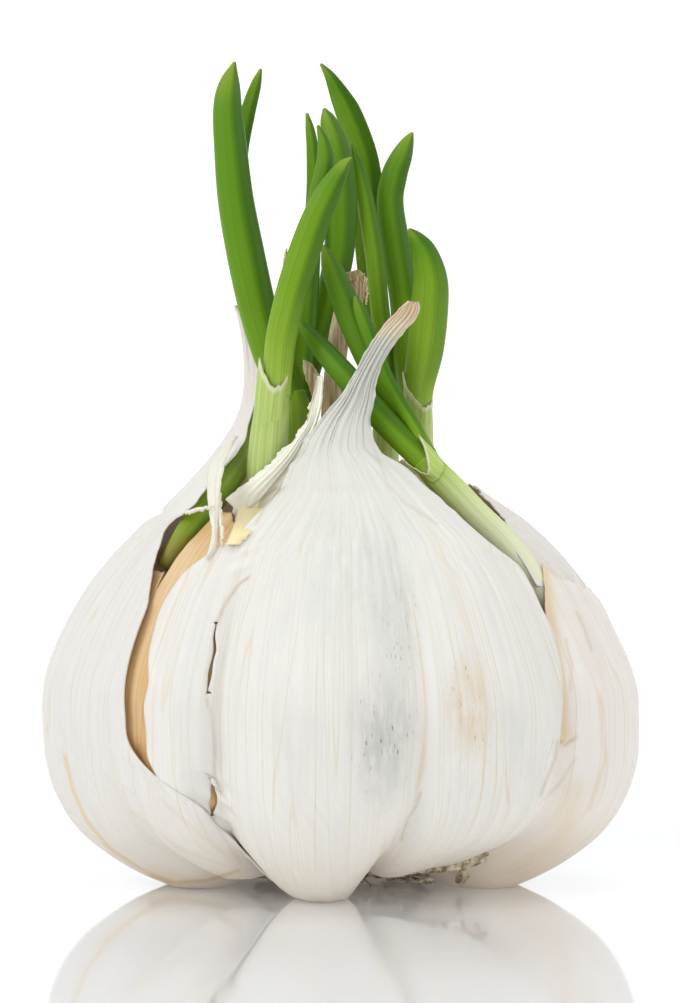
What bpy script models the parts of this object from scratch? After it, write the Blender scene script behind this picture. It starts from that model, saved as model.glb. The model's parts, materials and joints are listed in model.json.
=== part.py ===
"""A sprouted head of garlic: nine cloves in papery skins, with green sprouts breaking out of the neck."""

import math
import random

import bmesh
import bpy
import numpy as np
from mathutils import Vector

# Driving dimensions in millimetres. Meshes are written in metres.
MM = 0.001
SKIN = 0.6
LEAF = 0.65
CLOVE_INSET = 1.35
CLOVE_GAP = 0.22
VALLEY_LIFT = 2.8

# The photograph's view: millimetres per pixel, its floor line, middle column, tilt and camera distance.
PX = 0.1083
FLOOR_ROW = 882.3
MID_COLUMN = 339.0
TILT = math.radians(3.0)
FAR = 603.0
VIEW_X = (340.0 - MID_COLUMN) * PX
VIEW_Z = (FLOOR_ROW - 501.5) * PX

# The head's outline over the crest of a clove, radius and height, from the root plate up to the neck.
CREST = [
    (7.0, 2.6), (10.4, 0.9), (12.8, -0.25), (15.2, -0.65), (17.6, -0.25), (20.0, 0.7), (22.6, 2.0),
    (25.2, 3.7), (27.6, 5.7), (29.4, 8.0), (30.7, 10.5), (31.5, 13.2), (31.9, 16.1), (32.1, 19.0),
    (32.1, 21.6), (31.5, 24.2), (30.4, 27.0), (29.0, 29.8), (27.2, 32.6), (25.2, 35.2), (22.9, 37.7),
    (20.2, 40.1), (17.4, 42.3), (14.8, 44.6), (12.6, 47.0), (11.2, 49.4), (10.3, 51.8), (9.8, 54.2),
]

# The cloves round the head: name, first and last angle, fullness, how far its foot is off the table,
# how deep the valley before it is, and how much slimmer than the crest its shoulder is.
CLOVES = [
    ("clove_front_left", -46.0, -25.0, 0.965, 2.4, 0.45, 0.04),
    ("clove_front", -25.0, 17.0, 1.0, -0.4, 1.0, 0.02),
    ("clove_front_right", 17.0, 52.0, 0.985, 2.6, 1.0, 0.06),
    ("clove_right", 52.0, 100.0, 1.03, -0.25, 0.9, 0.13),
    ("clove_right_back", 100.0, 142.0, 0.99, 0.0, 0.8, 0.12),
    ("clove_back_right", 142.0, 180.0, 1.0, 0.8, 1.0, 0.04),
    ("clove_back_left", 180.0, 218.0, 1.0, 0.8, 1.0, 0.03),
    ("clove_left_back", 218.0, 256.0, 0.99, 0.0, 1.0, 0.05),
    ("clove_left", 256.0, 314.0, 1.012, 0.0, 0.7, 0.05),
]


def clear_scene():
    for thing in list(bpy.data.objects):
        bpy.data.objects.remove(thing)


def smooth_curve(points, count):
    """Even samples of a smooth curve through the given points."""
    pts = np.array(points, float)
    pts = np.vstack([2 * pts[0] - pts[1], pts, 2 * pts[-1] - pts[-2]])
    out = []
    for i in range(1, len(pts) - 2):
        a, b, c, d = pts[i - 1:i + 3]
        for k in range(12):
            t = k / 12
            out.append(0.5 * (2 * b + (c - a) * t + (2 * a - 5 * b + 4 * c - d) * t * t
                              + (3 * b - 3 * c + d - a) * t ** 3))
    out.append(pts[-2])
    out = np.array(out)
    run = np.concatenate([[0], np.cumsum(np.linalg.norm(np.diff(out[:, :2], axis=0), axis=1))])
    even = np.linspace(0, run[-1], count)
    return np.array([np.interp(even, run, out[:, j]) for j in range(out.shape[1])]).T


CREST_LINE = smooth_curve(CREST, 161)
CREST_STEP = np.gradient(CREST_LINE, axis=0)
CREST_OUT = np.stack([CREST_STEP[:, 1], -CREST_STEP[:, 0]], 1)
CREST_OUT /= np.linalg.norm(CREST_OUT, axis=1)[:, None]
CREST_T = np.linspace(0, 1, len(CREST_LINE))
FOOT_T = float(CREST_T[np.argmin(CREST_LINE[:, 1])])


def crest(t, inset):
    """Radius and height of the crest outline at t, set in by a skin's depth."""
    line = CREST_LINE - CREST_OUT * inset
    return np.interp(t, CREST_T, line[:, 0]), np.interp(t, CREST_T, line[:, 1])


def height_t(z):
    """The t at which the crest outline above its foot has height z."""
    keep = CREST_T >= FOOT_T
    return float(np.interp(z, CREST_LINE[keep, 1], CREST_T[keep]))


SHOULDER_T = [height_t(z) for z in (14, 22, 28, 33, 37, 39.5, 42, 44)]


def which_clove(angle):
    """The clove under an angle, and how far the angle is from its middle, -1 to 1."""
    a = (angle + 46.0) % 360.0 - 46.0
    for index, spec in enumerate(CLOVES):
        if a < spec[2] or index == len(CLOVES) - 1:
            return index, 2 * (a - spec[1]) / (spec[2] - spec[1]) - 1


def blend_round(angle, column):
    """A value of the cloves, blended smoothly from one clove's middle to the next one's."""
    middles = [(c[1] + c[2]) / 2 for c in CLOVES]
    middles.append(middles[0] + 360)
    a = (angle - middles[0]) % 360 + middles[0]
    for k in range(len(CLOVES)):
        if a <= middles[k + 1]:
            f = (a - middles[k]) / (middles[k + 1] - middles[k])
            f = f * f * (3 - 2 * f)
            return CLOVES[k][column] * (1 - f) + CLOVES[(k + 1) % len(CLOVES)][column] * f


def on_head(angle, t, inset=0.0, paper=True):
    """A point of the head's surface: of the paper over the cloves, or of the cloves themselves."""
    index, u = which_clove(angle)
    share = CLOVES[(index + (u > 0)) % len(CLOVES)][5]
    u = min(abs(u), 1.0)
    valley = np.interp(t, [0, 0.12, 0.25, 0.45, 0.8, 1], [0.24, 0.22, 0.13, 0.095, 0.06, 0.03])
    if paper:
        w = -0.07 * math.log(math.exp(-u * u / 0.07) + math.exp(-0.86 / 0.07))
    else:
        w = u ** 2.2
        valley += 0.03
    w *= share
    r, z = crest(t, inset)
    shoulder = float(np.interp(t, SHOULDER_T, [0, 0.13, 0.24, 0.27, 0.4, 0.5, 0.85, 1]))
    r *= blend_round(angle, 3) * (1 - valley * w) * (1 - blend_round(angle, 6) * shoulder)
    low = float(np.interp(t, [0, 0.1, 0.22, 0.36], [0.6, 1, 0.7, 0]))
    z += low * (VALLEY_LIFT * w + blend_round(angle, 4))
    z = max(z, inset)
    a = math.radians(angle)
    return Vector((r * math.sin(a), -r * math.cos(a), z))


def place(column, row, depth):
    """The point that the photograph shows at a column and row, at a depth behind the middle."""
    k = (FAR + depth) / FAR
    x = VIEW_X + ((column - MID_COLUMN) * PX - VIEW_X) * k
    up = VIEW_Z + ((FLOOR_ROW - row) * PX - VIEW_Z) * k
    return Vector((x, depth, (up - depth * math.sin(TILT)) / math.cos(TILT)))


def behind(column, row):
    """The angle and t of the head's surface that the photograph shows at a column and row."""
    depth = -20.0
    for _ in range(14):
        p = place(column, row, depth)
        t = height_t(p.z)
        angle = math.degrees(math.asin(max(-0.98, min(0.98, p.x / crest(t, 0)[0]))))
        for _ in range(4):
            q = on_head(angle, t)
            r = max(math.hypot(q.x, q.y), abs(p.x) * 1.01)
            angle = math.degrees(math.asin(p.x / r))
        depth = 0.5 * depth - 0.5 * r * math.cos(math.radians(angle))
    return angle, t


def edge(points):
    """The angle of a torn edge at each t, from columns and rows traced down it."""
    found = sorted((t, angle) for angle, t in (behind(*p) for p in points))
    return [f[0] for f in found], [f[1] for f in found]


def material(name, colour, rough):
    mat = bpy.data.materials.new(name)
    mat.use_nodes = True
    shader = mat.node_tree.nodes["Principled BSDF"]
    shader.inputs["Base Color"].default_value = (*colour, 1)
    shader.inputs["Roughness"].default_value = rough
    shader.inputs["Metallic"].default_value = 0.0
    return mat


def add_object(name, verts, faces, mat):
    mesh = bpy.data.meshes.new(name)
    mesh.from_pydata([tuple(c * MM for c in v) for v in verts], [], faces)
    bm = bmesh.new()
    bm.from_mesh(mesh)
    bmesh.ops.recalc_face_normals(bm, faces=bm.faces)
    if bm.calc_volume(signed=True) < 0:
        bmesh.ops.reverse_faces(bm, faces=bm.faces)
    bm.to_mesh(mesh)
    bm.free()
    for face in mesh.polygons:
        face.use_smooth = True
    mesh.materials.append(mat)
    obj = bpy.data.objects.new(name, mesh)
    bpy.context.scene.collection.objects.link(obj)
    return obj


def sheet(name, rows, mat, thick=SKIN):
    """A skin: rows of outer points from the bottom up, given its thickness inwards."""
    grid = np.array([[tuple(p) for p in row] for row in rows])
    across = np.gradient(grid, axis=1)
    up = np.gradient(grid, axis=0)
    out = np.cross(across, up)
    out /= np.linalg.norm(out, axis=2)[:, :, None]
    low = grid[:, :, 2] < 0.02
    out[low] = (0, 0, -1)
    inner = grid - out * thick
    n, m = grid.shape[:2]
    verts = [tuple(p) for p in grid.reshape(-1, 3)] + [tuple(p) for p in inner.reshape(-1, 3)]
    faces = []
    for i in range(n - 1):
        for j in range(m - 1):
            a, b, c, d = i * m + j, i * m + j + 1, (i + 1) * m + j + 1, (i + 1) * m + j
            for tri in ((a, b, c), (a, c, d)):
                faces.append(tri)
                faces.append(tuple(v + n * m for v in reversed(tri)))
    rim = ([i * m for i in range(n)], [(n - 1) * m + j for j in range(m)],
           [i * m + m - 1 for i in reversed(range(n))], [j for j in reversed(range(m))])
    for line in rim:
        for a, b in zip(line, line[1:]):
            faces.append((a, b, b + n * m, a + n * m))
    return add_object(name, verts, faces, mat)


def head_skin(name, first, last, low, high, columns, rows, mat):
    """A skin on the head between two edges, each an angle or a traced edge, up to its own top line."""
    grid = []
    for i in range(rows):
        line = []
        for j in range(columns):
            v = j / (columns - 1)
            a = first if isinstance(first, float) else float(np.interp(1, *first))
            b = last if isinstance(last, float) else float(np.interp(1, *last))
            base, top = low(a + (b - a) * v), high(a + (b - a) * v)
            t = base + (top - base) * i / (rows - 1)
            a = first if isinstance(first, float) else float(np.interp(t, *first))
            b = last if isinstance(last, float) else float(np.interp(t, *last))
            line.append(on_head(a + (b - a) * v, t))
        grid.append(line)
    return sheet(name, grid, mat)


def rim(angle):
    """The t where the skins end under the head, ragged round the root plate."""
    return 0.03 + 0.006 * math.sin(math.radians(angle) * 9)


def root_plate(mat):
    """The flat woody plate under the middle, with the dry stubs of its roots."""
    verts, faces = [], []
    rings = [(0.01, 0.9), (4.0, 0.7), (6.2, 1.2), (6.8, 2.1), (6.3, 3.0), (3.5, 3.4), (0.01, 3.4)]
    sides = 24
    for r, z in rings:
        for k in range(sides):
            a = 2 * math.pi * k / sides
            wave = 1 + 0.05 * math.sin(5 * a + 1) + 0.03 * math.sin(11 * a)
            verts.append((r * wave * math.sin(a), -r * wave * math.cos(a), z))
    for i in range(len(rings) - 1):
        for k in range(sides):
            n = (k + 1) % sides
            faces.append((i * sides + k, i * sides + n, (i + 1) * sides + n, (i + 1) * sides + k))
    faces.append(tuple(range(sides)))
    faces.append(tuple((len(rings) - 1) * sides + k for k in reversed(range(sides))))
    plate = add_object("root_plate", verts, faces, mat)
    stubs = bpy.data.collections.new("root_stubs")
    bpy.context.scene.collection.children.link(stubs)
    rng = random.Random(4)
    for c in CLOVES:
        for side in (-1, 1):
            angle = math.radians(c[2] + side * rng.uniform(2.0, 4.5))
            long = rng.uniform(8.6, 11.4)
            out = Vector((math.sin(angle), -math.cos(angle), 0))
            turn = Vector((math.cos(angle), math.sin(angle), 0)) * rng.uniform(-0.8, 0.8)
            a = out * 5.6 + Vector((0, 0, 1.7))
            b = out * long + turn + Vector((0, 0, rng.uniform(0.7, 1.3)))
            stub = rod("root_stub", a, b, 0.42, 0.24, mat)
            bpy.context.scene.collection.objects.unlink(stub)
            stubs.objects.link(stub)
    join(plate, stubs)
    return plate


def rod(name, a, b, ra, rb, mat):
    """A short tapered root or twig between two points."""
    axis = (b - a).normalized()
    side = axis.cross(Vector((0, 0, 1))).normalized()
    other = axis.cross(side)
    verts, faces = [], []
    for p, r in ((a, ra), (b, rb)):
        for k in range(6):
            w = math.pi * k / 3
            verts.append(tuple(p + side * r * math.cos(w) + other * r * math.sin(w)))
    for k in range(6):
        faces.append((k, (k + 1) % 6, 6 + (k + 1) % 6, 6 + k))
    faces += [tuple(range(5, -1, -1)), tuple(range(6, 12))]
    return add_object(name, verts, faces, mat)


def join(base, group):
    """Grow a collection of pieces into the base as one body, then drop the loose pieces."""
    for o in bpy.context.scene.objects:
        o.select_set(False)
    mod = base.modifiers.new("grown_together", "BOOLEAN")
    mod.operation = "UNION"
    mod.solver = "EXACT"
    mod.operand_type = "COLLECTION"
    mod.collection = group
    bpy.context.view_layer.objects.active = base
    bpy.ops.object.modifier_apply(modifier=mod.name)
    for o in list(group.objects):
        bpy.data.objects.remove(o)
    bpy.data.collections.remove(group)


def clove(spec, mat):
    """One clove: a plump wedge with a rounded back, flat sides and a pointed top."""
    name, first, last = spec[:3]
    mid, half = (first + last) / 2, (last - first) / 2
    arc, levels, top = 9, 13, height_t(40.0)
    inner_r = 4.2 + 1.2 * (half < 12)
    verts, faces = [], []
    for i in range(levels):
        v = i / (levels - 1)
        t = FOOT_T + (top - FOOT_T) * v
        close = max(0.0, (v - 0.72) / 0.28)
        close = close * close * 0.72
        ring = []
        for j in range(arc):
            u = 2 * j / (arc - 1) - 1
            p = on_head(mid + u * half * (1 - close * 0.75), t, CLOVE_INSET + 0.5 * (half < 12), False)
            ring.append(p)
        core = sum(ring, Vector()) / arc
        core = core.lerp(Vector((core.x, core.y, 0)).normalized() * 9.5 + Vector((0, 0, core.z)), 0.6)
        for u in (1, -1):
            a = math.radians(mid + u * half)
            r = min(inner_r, 0.8 * ring[0].xy.length)
            z = 5.2 + max(2.4 * v, (max(ring[0].z, ring[arc - 1].z) * 0.86 - 4.1) * min(1.0, 5 * v))
            ring.append(Vector((r * math.sin(a), -r * math.cos(a), z)))
        ring = [p.lerp(Vector((core.x, core.y, p.z)), close * 0.75) for p in ring]
        for j, p in enumerate(ring):
            side = 1 if j >= arc // 2 + 1 and j != arc + 1 else -1
            if j == arc // 2:
                verts.append(p)
                continue
            a = math.radians(mid + side * half)
            wall = Vector((math.cos(a), math.sin(a), 0)) * side
            over = max(0.0, p.dot(wall) + CLOVE_GAP)
            verts.append(p - wall * over)
    count = arc + 2
    for i in range(levels - 1):
        for j in range(count):
            n = (j + 1) % count
            faces.append((i * count + j, i * count + n, (i + 1) * count + n, (i + 1) * count + j))
    for base in (0, (levels - 1) * count):
        centre = sum((verts[base + j] for j in range(count)), Vector()) / count
        if base:
            centre.z += 1.4
        verts.append(centre)
        for j in range(count):
            faces.append((base + j, base + (j + 1) % count, len(verts) - 1))
    return add_object(name, verts, faces, mat)


def blade(name, path, mat, keel=1, steps=12, thick=LEAF, sides=5):
    """A leaf or stem swept along traced points: column, row, depth, width in pixels, hollow 0 to 1.

    A hollow of 0 is a round solid stem and 1 is a thin channelled blade. The keel faces the camera
    when keel is 1, and the channel does when it is -1.
    """
    pts = []
    for column, row, depth, width, hollow in path:
        p = place(column, row, depth)
        pts.append((p.x, p.z, p.y, width * PX * (FAR + depth) / FAR, hollow))
    line = smooth_curve(pts, steps)
    centre = [Vector((x, y, z)) for x, z, y, w, h in line]
    verts, faces = [], []
    count = 2 * sides
    for i, (x, z, y, w, hollow) in enumerate(line):
        along = (centre[min(i + 1, steps - 1)] - centre[max(i - 1, 0)]).normalized()
        face = Vector((0, -1, 0))
        face = (face - along * face.dot(along)).normalized() * keel
        side = along.cross(face).normalized()
        w = max(w, 0.7)
        deep = min(max(0.36 * w, 0.62 * thick), 0.5 * w)
        inner = -deep + (2 * deep - thick) * hollow if 2 * deep > thick else -deep * 0.9
        inner = max(inner, -deep)
        for k in range(sides):
            a = math.pi * (k / (sides - 1) - 0.5)
            verts.append(centre[i] + side * (w / 2 * math.sin(a)) + face * (deep * math.cos(a)))
        edge_in = 1 - 0.22 * hollow
        for k in reversed(range(sides)):
            a = math.pi * (k / (sides - 1) - 0.5) * 0.86
            drop = inner * math.cos(a) - 0.2 * thick * hollow
            verts.append(centre[i] + side * (w / 2 * edge_in * math.sin(a)) + face * drop)
    for i in range(steps - 1):
        for j in range(count):
            n = (j + 1) % count
            faces.append((i * count + j, i * count + n, (i + 1) * count + n, (i + 1) * count + j))
    for i in (0, steps - 1):
        for j in range(sides - 1):
            a, b = i * count + j, i * count + j + 1
            c, d = i * count + count - 2 - j, i * count + count - 1 - j
            faces.append((a, b, c, d))
    return add_object(name, verts, faces, mat)


def sprout(name, pieces, mat):
    """A shoot and the leaves that grow out of it, as one body."""
    objs = [blade(name + "_piece", path, mat, keel, steps) for path, keel, steps in pieces]
    base = objs[0]
    base.name = name
    if len(objs) > 1:
        group = bpy.data.collections.new(name + "_leaves")
        bpy.context.scene.collection.children.link(group)
        for o in objs[1:]:
            bpy.context.scene.collection.objects.unlink(o)
            group.objects.link(o)
        join(base, group)
    return base


def sprout_front(mat):
    """The front left shoot: a pale sheath with a folded leaf and a darker one inside the fold."""
    stem = [(266, 512, -8.2, 38, 0), (267, 470, -8.2, 41, 0), (269, 440, -8.2, 39, 0), (272, 410, -8.2, 35, 0),
            (275, 388, -8.3, 30, 0), (277, 372, -8.4, 28, 0.1)]
    leaf = [(277, 396, -8.4, 27, 0.2), (278, 372, -8.6, 29, 0.5), (281, 340, -8.7, 31, 0.9),
            (290, 300, -8.8, 32, 1), (302, 260, -8.8, 32, 1), (316, 220, -8.9, 29, 1),
            (330, 190, -9.0, 24, 1), (343, 168, -9.2, 14, 1), (351, 159, -9.3, 4, 1)]
    inner = [(280, 372, -8.0, 18, 0), (285, 335, -7.6, 16, 0.4), (296, 290, -7.2, 16, 1),
             (306, 245, -7.0, 17, 1), (318, 195, -6.9, 18, 1), (325, 165, -6.9, 18, 1),
             (324, 145, -6.9, 13, 1), (318, 127, -6.9, 4, 1)]
    return sprout("sprout_front", [(stem, 1, 8), (leaf, 1, 14), (inner, 1, 12)], mat)


def sprout_left(mat):
    """The left clove's shoot: it bends up through the torn skin and ends in one narrow leaf."""
    stem = [(174, 556, -11.7, 18, 0), (187, 532, -10.6, 24, 0), (207, 503, -8.8, 26, 0),
            (228, 474, -6.4, 26, 0), (248, 448, -3.8, 24, 0), (261, 422, -1.2, 22, 0),
            (268, 390, 1.0, 20, 0), (267, 355, 2.0, 19, 0.1), (260, 320, 2.4, 18, 0.4),
            (246, 250, 2.6, 18, 1), (240, 200, 2.6, 16, 1), (241, 155, 2.6, 15, 1),
            (248, 115, 2.6, 15, 1), (256, 87, 2.6, 11, 1), (261, 71, 2.6, 4, 1)]
    return sprout("sprout_left", [(stem, -1, 22)], mat)


def sprout_centre(mat):
    """The middle shoot: an olive sheath with a big left leaf, a narrow one and a broad right one."""
    stem = [(299, 470, -4.0, 24, 0), (299, 448, -3.9, 24, 0), (298, 428, -3.7, 25, 0),
            (297, 408, -3.5, 25, 0), (295, 392, -3.3, 22, 0.1)]
    left = [(299, 432, -3.6, 24, 0), (294, 408, -3.2, 28, 0.3), (286, 385, -2.9, 33, 0.8),
            (275, 365, -2.6, 35, 1), (265, 335, -2.4, 37, 1), (255, 297, -2.2, 38, 1),
            (245, 250, -2.0, 38, 1), (236, 200, -1.8, 36, 1), (231, 150, -1.5, 33, 1),
            (228, 110, -1.4, 29, 1), (230, 85, -1.3, 21, 1), (235, 64, -1.1, 4, 1)]
    narrow = [(299, 420, -3.2, 16, 0), (301, 395, -2.6, 20, 0.3), (304, 350, -1.6, 22, 0.9),
              (308, 300, -0.9, 21, 1), (312, 240, -0.5, 18, 1), (314, 190, -0.4, 15, 1),
              (312.5, 150, -0.4, 12, 1), (310, 130, -0.4, 9, 1), (307, 115, -0.4, 4, 1)]
    broad = [(300, 410, -2.8, 18, 0), (307, 380, -1.4, 22, 0.3), (316, 345, 0.4, 25, 0.8),
             (328, 305, 1.2, 28, 1), (338, 260, 1.2, 30, 1), (341, 220, 1.0, 32, 1),
             (340, 180, 0.8, 32, 1), (335, 145, 0.7, 27, 1), (328, 121, 0.7, 16, 1), (324, 110, 0.7, 4, 1)]
    return sprout("sprout_centre", [(stem, 1, 6), (left, 1, 16), (narrow, -1, 13), (broad, 1, 14)], mat)


def sprout_back(mat):
    """The back shoot: the tall leaf in the middle, and a slimmer one in front of it."""
    stem = [(386, 462, 4.6, 26, 0), (386, 440, 4.6, 27, 0), (387, 415, 4.6, 28, 0), (387, 395, 4.6, 26, 0)]
    tall = [(388, 420, 5.4, 20, 0), (386, 380, 6.0, 21, 0.3), (379, 330, 6.4, 22, 0.9), (372, 290, 6.6, 24, 1),
            (368, 240, 6.6, 27, 1), (369, 195, 6.6, 28, 1), (364, 157, 6.6, 27, 1), (350, 118, 6.6, 26, 1),
            (341, 99, 6.6, 21, 1), (330, 78, 6.6, 11, 1), (321, 66, 6.6, 4, 1)]
    slim = [(392, 425, 3.6, 18, 0), (391, 390, 3.0, 18, 0.2), (386, 350, 2.2, 18, 0.8), (380, 310, 1.9, 19, 1),
            (375, 260, 1.9, 19, 1), (368, 215, 1.9, 18, 1), (361, 180, 1.9, 15, 1),
            (356, 160, 1.9, 9, 1), (352, 145, 1.9, 4, 1)]
    return sprout("sprout_back", [(stem, 1, 5), (tall, -1, 14), (slim, 1, 12)], mat)


def sprout_right(mat):
    """The short right shoot: a pale stem that opens into two broad leaves."""
    stem = [(420, 468, -2.6, 25, 0), (420, 446, -2.4, 27, 0), (419, 425, -2.2, 28, 0), (418, 404, -2.0, 28, 0),
            (418, 388, -1.8, 26, 0.1)]
    wide = [(418, 412, -2.2, 26, 0), (419, 385, -2.2, 31, 0.4), (425, 350, -2.2, 37, 0.9), (429, 310, -2.1, 38, 1),
            (430, 280, -2.0, 35, 1), (424, 254, -2.0, 27, 1), (416, 239, -2.0, 16, 1), (409, 230, -2.0, 5, 1)]
    back = [(416, 412, -1.2, 22, 0), (412, 380, 0.6, 22, 0.3), (409, 345, 2.2, 25, 0.9), (408, 305, 3.6, 26, 1),
            (397, 254, 4.2, 28, 1), (390, 205, 4.2, 27, 1), (394, 177, 4.2, 26, 1),
            (402, 156, 4.2, 21, 1), (408, 142, 4.2, 12, 1), (412, 134, 4.2, 4, 1)]
    return sprout("sprout_right", [(stem, 1, 6), (wide, 1, 12), (back, 1, 14)], mat)


def sprout_slant(mat):
    """The right clove's shoot: a stem that slants up over the shoulder, with three leaves behind the flame."""
    stem = [(550, 611, -12.8, 9, 0), (547, 600, -12.6, 13, 0), (541, 583, -12.1, 19, 0),
            (526, 557, -11.2, 25, 0), (502, 532, -10.4, 27, 0), (479, 510, -10.1, 27, 0),
            (456, 487, -10.0, 27, 0), (437, 471, -9.9, 26, 0), (424, 458, -9.8, 24, 0.1)]
    long = [(436, 471, -9.9, 22, 0), (421, 457, -9.6, 26, 0.4), (400, 437, -9.0, 26, 1), (374, 410, -8.4, 26, 1),
            (350, 381, -7.5, 25, 1), (327, 355, -6.3, 22, 1), (312, 338, -5.2, 18, 1), (301, 325, -4.8, 8, 1)]
    slim = [(430, 462, -9.6, 14, 0), (417, 430, -9.2, 13, 0.2), (402, 406, -8.4, 14, 0.8), (386, 378, -7.6, 15, 1),
            (374, 348, -7.1, 16, 1), (364, 322, -6.8, 15, 1), (358, 306, -6.6, 11, 1), (355, 297, -6.5, 4, 1)]
    tall = [(432, 462, -9.0, 18, 0), (414, 432, -7.6, 20, 0.2), (392, 402, -6.2, 23, 0.8), (373, 368, -5.6, 26, 1),
            (357, 333, -5.2, 27, 1), (344, 300, -4.9, 27, 1), (333, 272, -4.7, 22, 1),
            (327, 256, -4.6, 13, 1), (323, 246, -4.5, 4, 1)]
    pieces = [(stem, 1, 12), (long, -1, 12), (slim, 1, 11), (tall, 1, 12)]
    return sprout("sprout_slant", pieces, mat)


def old_stalk(mat):
    """The dried flat stalk of the old plant in the middle of the neck, open at its broken end."""
    path = [(332, 400, -2.6, 20, 0), (334, 372, -2.6, 21, 0), (338, 345, -2.6, 21, 0), (343, 320, -2.6, 22, 0),
            (350, 296, -2.5, 24, 0.3), (354, 286, -2.5, 25, 0.8), (357, 276, -2.4, 22, 1)]
    return blade("old_stalk", path, mat, -1, 9)


FRONT_LEFT_EDGE = [
    (253, 527), (230, 541), (206, 558), (194, 566), (182, 576), (168, 598), (162, 610), (156, 632), (151, 653),
    (149, 677), (149, 697), (144, 716), (147, 730), (149, 743), (154, 759), (163, 776), (182, 784), (206, 806),
    (222, 824), (246, 858),
]
LEFT_EDGE = [
    (168, 528), (159, 556), (152, 590), (148, 602), (142, 625), (137, 640), (130, 660), (127, 700), (127, 730),
    (132, 746), (143, 764), (156, 778), (175, 788), (198, 811), (213, 828), (238, 863),
]
FRONT_RIGHT_EDGE = [
    (478, 535), (498, 553), (522, 571), (530, 586), (538, 604), (549, 626), (557, 651), (562, 687), (561, 726),
    (559, 741), (555, 759), (542, 792),
]
RIGHT_EDGE = [
    (556, 568), (560, 610), (561, 624), (563, 640), (566, 652), (568, 668), (570, 687), (574, 707), (577, 720),
    (574, 734), (569, 745), (563, 762), (550, 794),
]


def widen(found, bottom):
    """An edge carried down to the root plate at a fixed angle."""
    ts, angles = found
    return [0.0, 0.14] + list(ts), [bottom, bottom] + list(angles)


def skin_front(mat):
    """The front skin: one sheet over three cloves, gathered at the top into a dried pointed flame."""
    left = widen(edge(FRONT_LEFT_EDGE), -24.0)
    right = widen(edge(FRONT_RIGHT_EDGE), 51.4)
    high, body, columns = height_t(40.2), 20, 25
    grid = []
    for i in range(body):
        line = []
        for j in range(columns):
            v = j / (columns - 1)
            low = rim(-24 + 75 * v)
            t = low + (high - low) * i / (body - 1)
            a, b = float(np.interp(t, *left)), float(np.interp(t, *right))
            line.append(on_head(a + (b - a) * v, t))
        grid.append(line)
    flame = [
        (516, 262, 446, -17.2, 0.03), (503, 270, 427, -15.9, 0.033), (488, 280, 405, -14.6, 0.037),
        (470, 287, 388, -13.4, 0.05), (449, 302, 374, -12.7, 0.08), (425, 317, 371, -12.3, 0.1),
        (401, 336, 374, -11.9, 0.15), (377, 352, 377, -11.6, 0.2), (349, 369, 390, -11.3, 0.2),
        (332, 379, 403, -11.1, 0.2), (317, 394, 416, -10.9, 0.2), (304, 406, 417, -10.7, 0.2),
    ]
    for row, first, last, depth, bow in flame:
        line = []
        for j in range(columns):
            v = j / (columns - 1)
            column = first + (last - first) * v
            half = (last - first) * PX / 2
            line.append(place(column, row, depth + bow * (half * (2 * v - 1)) ** 2))
        grid.append(line)
    return sheet("skin_front", grid, mat)


def skin_left(mat):
    """The left skin: it wraps the left clove and runs up behind the shoot as a narrow strip."""
    right = widen(edge(LEFT_EDGE), -25.6)
    high, body, columns = height_t(39.4), 16, 15
    grid = []
    for i in range(body):
        line = []
        for j in range(columns):
            v = j / (columns - 1)
            low = rim(-103.6 + 78 * v)
            t = low + (high - low) * i / (body - 1)
            line.append(on_head(-103.6 + (float(np.interp(t, *right)) + 103.6) * v, t))
        grid.append(line)
    strip = [
        (508, 165, -0.2, 174, -6.2), (484, 188, 0.0, 196, -5.2), (462, 209, 0.0, 214, -3.8),
        (440, 225, 0.4, 230, -2.2), (418, 237, 1.0, 242, -0.5), (394, 244, 1.8, 250, 0.4),
        (366, 245, 2.4, 253, 1.2), (340, 243, 2.6, 251, 1.6), (318, 239, 2.6, 247, 2.0),
    ]
    for row, column_a, depth_a, column_b, depth_b in strip:
        a, b = place(column_a, row, depth_a), place(column_b, row, depth_b)
        grid.append([a.lerp(b, j / (columns - 1)) for j in range(columns)])
    return sheet("skin_left", grid, mat)


def shoulder_line(angle):
    """The t of the line that rises round the right shoulder, where the front layer ends over the back one."""
    return height_t(float(np.interp(angle, [52, 60, 75, 90, 101], [35.5, 35.0, 33.0, 30.0, 27.0])))


def skin_right(mat):
    """The right skin over the right clove, with its free tip beside the slanting shoot."""
    left = widen(edge(RIGHT_EDGE), 52.4)
    return head_skin("skin_right", left, 99.6, rim, shoulder_line, 14, 16, mat)


def skin_shoulder(mat):
    """The thin skin that shows above the right one and closes the shoulder behind the shoot."""
    return head_skin("skin_shoulder", 67.0, 99.6, lambda a: shoulder_line(a) + 0.016, lambda a: height_t(43.0),
                     10, 7, mat)


def back_skins(mat):
    """The three skins round the back, each with its own torn top."""
    head_skin("skin_right_back", 100.4, 141.6, rim, lambda a: height_t(44.5 + 1.0 * math.sin(a / 5)), 13, 15, mat)
    head_skin("skin_back", 142.4, 217.6, rim, lambda a: height_t(46.0 + 1.2 * math.sin(a / 5)), 21, 15, mat)
    head_skin("skin_left_back", 218.4, 255.6, rim, lambda a: height_t(44.0 + 1.0 * math.sin(a / 5)), 13, 15, mat)


def skin_flap(mat):
    """The inner layer left of the flame: a loose flap round the front shoot that ends in a frayed tip."""
    rows = [
        (520, 240, 262, -10.9), (508, 231, 275, -11.0), (497, 229, 284, -11.0), (485, 243, 290, -10.9),
        (470, 262, 298, -10.8), (455, 279, 305, -10.8), (440, 292, 310, -10.7), (423, 305, 317, -10.5),
        (405, 309, 322, -10.2), (390, 313, 323, -9.9), (376, 317, 323, -9.8),
    ]
    grid = []
    for row, first, last, depth in rows:
        bow = min(0.35, 0.009 * (last - first))
        grid.append([place(first + (last - first) * j / 7, row, depth + bow * (j / 3.5 - 1) ** 2)
                     for j in range(8)])
    return sheet("skin_flap", grid, mat)


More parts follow.
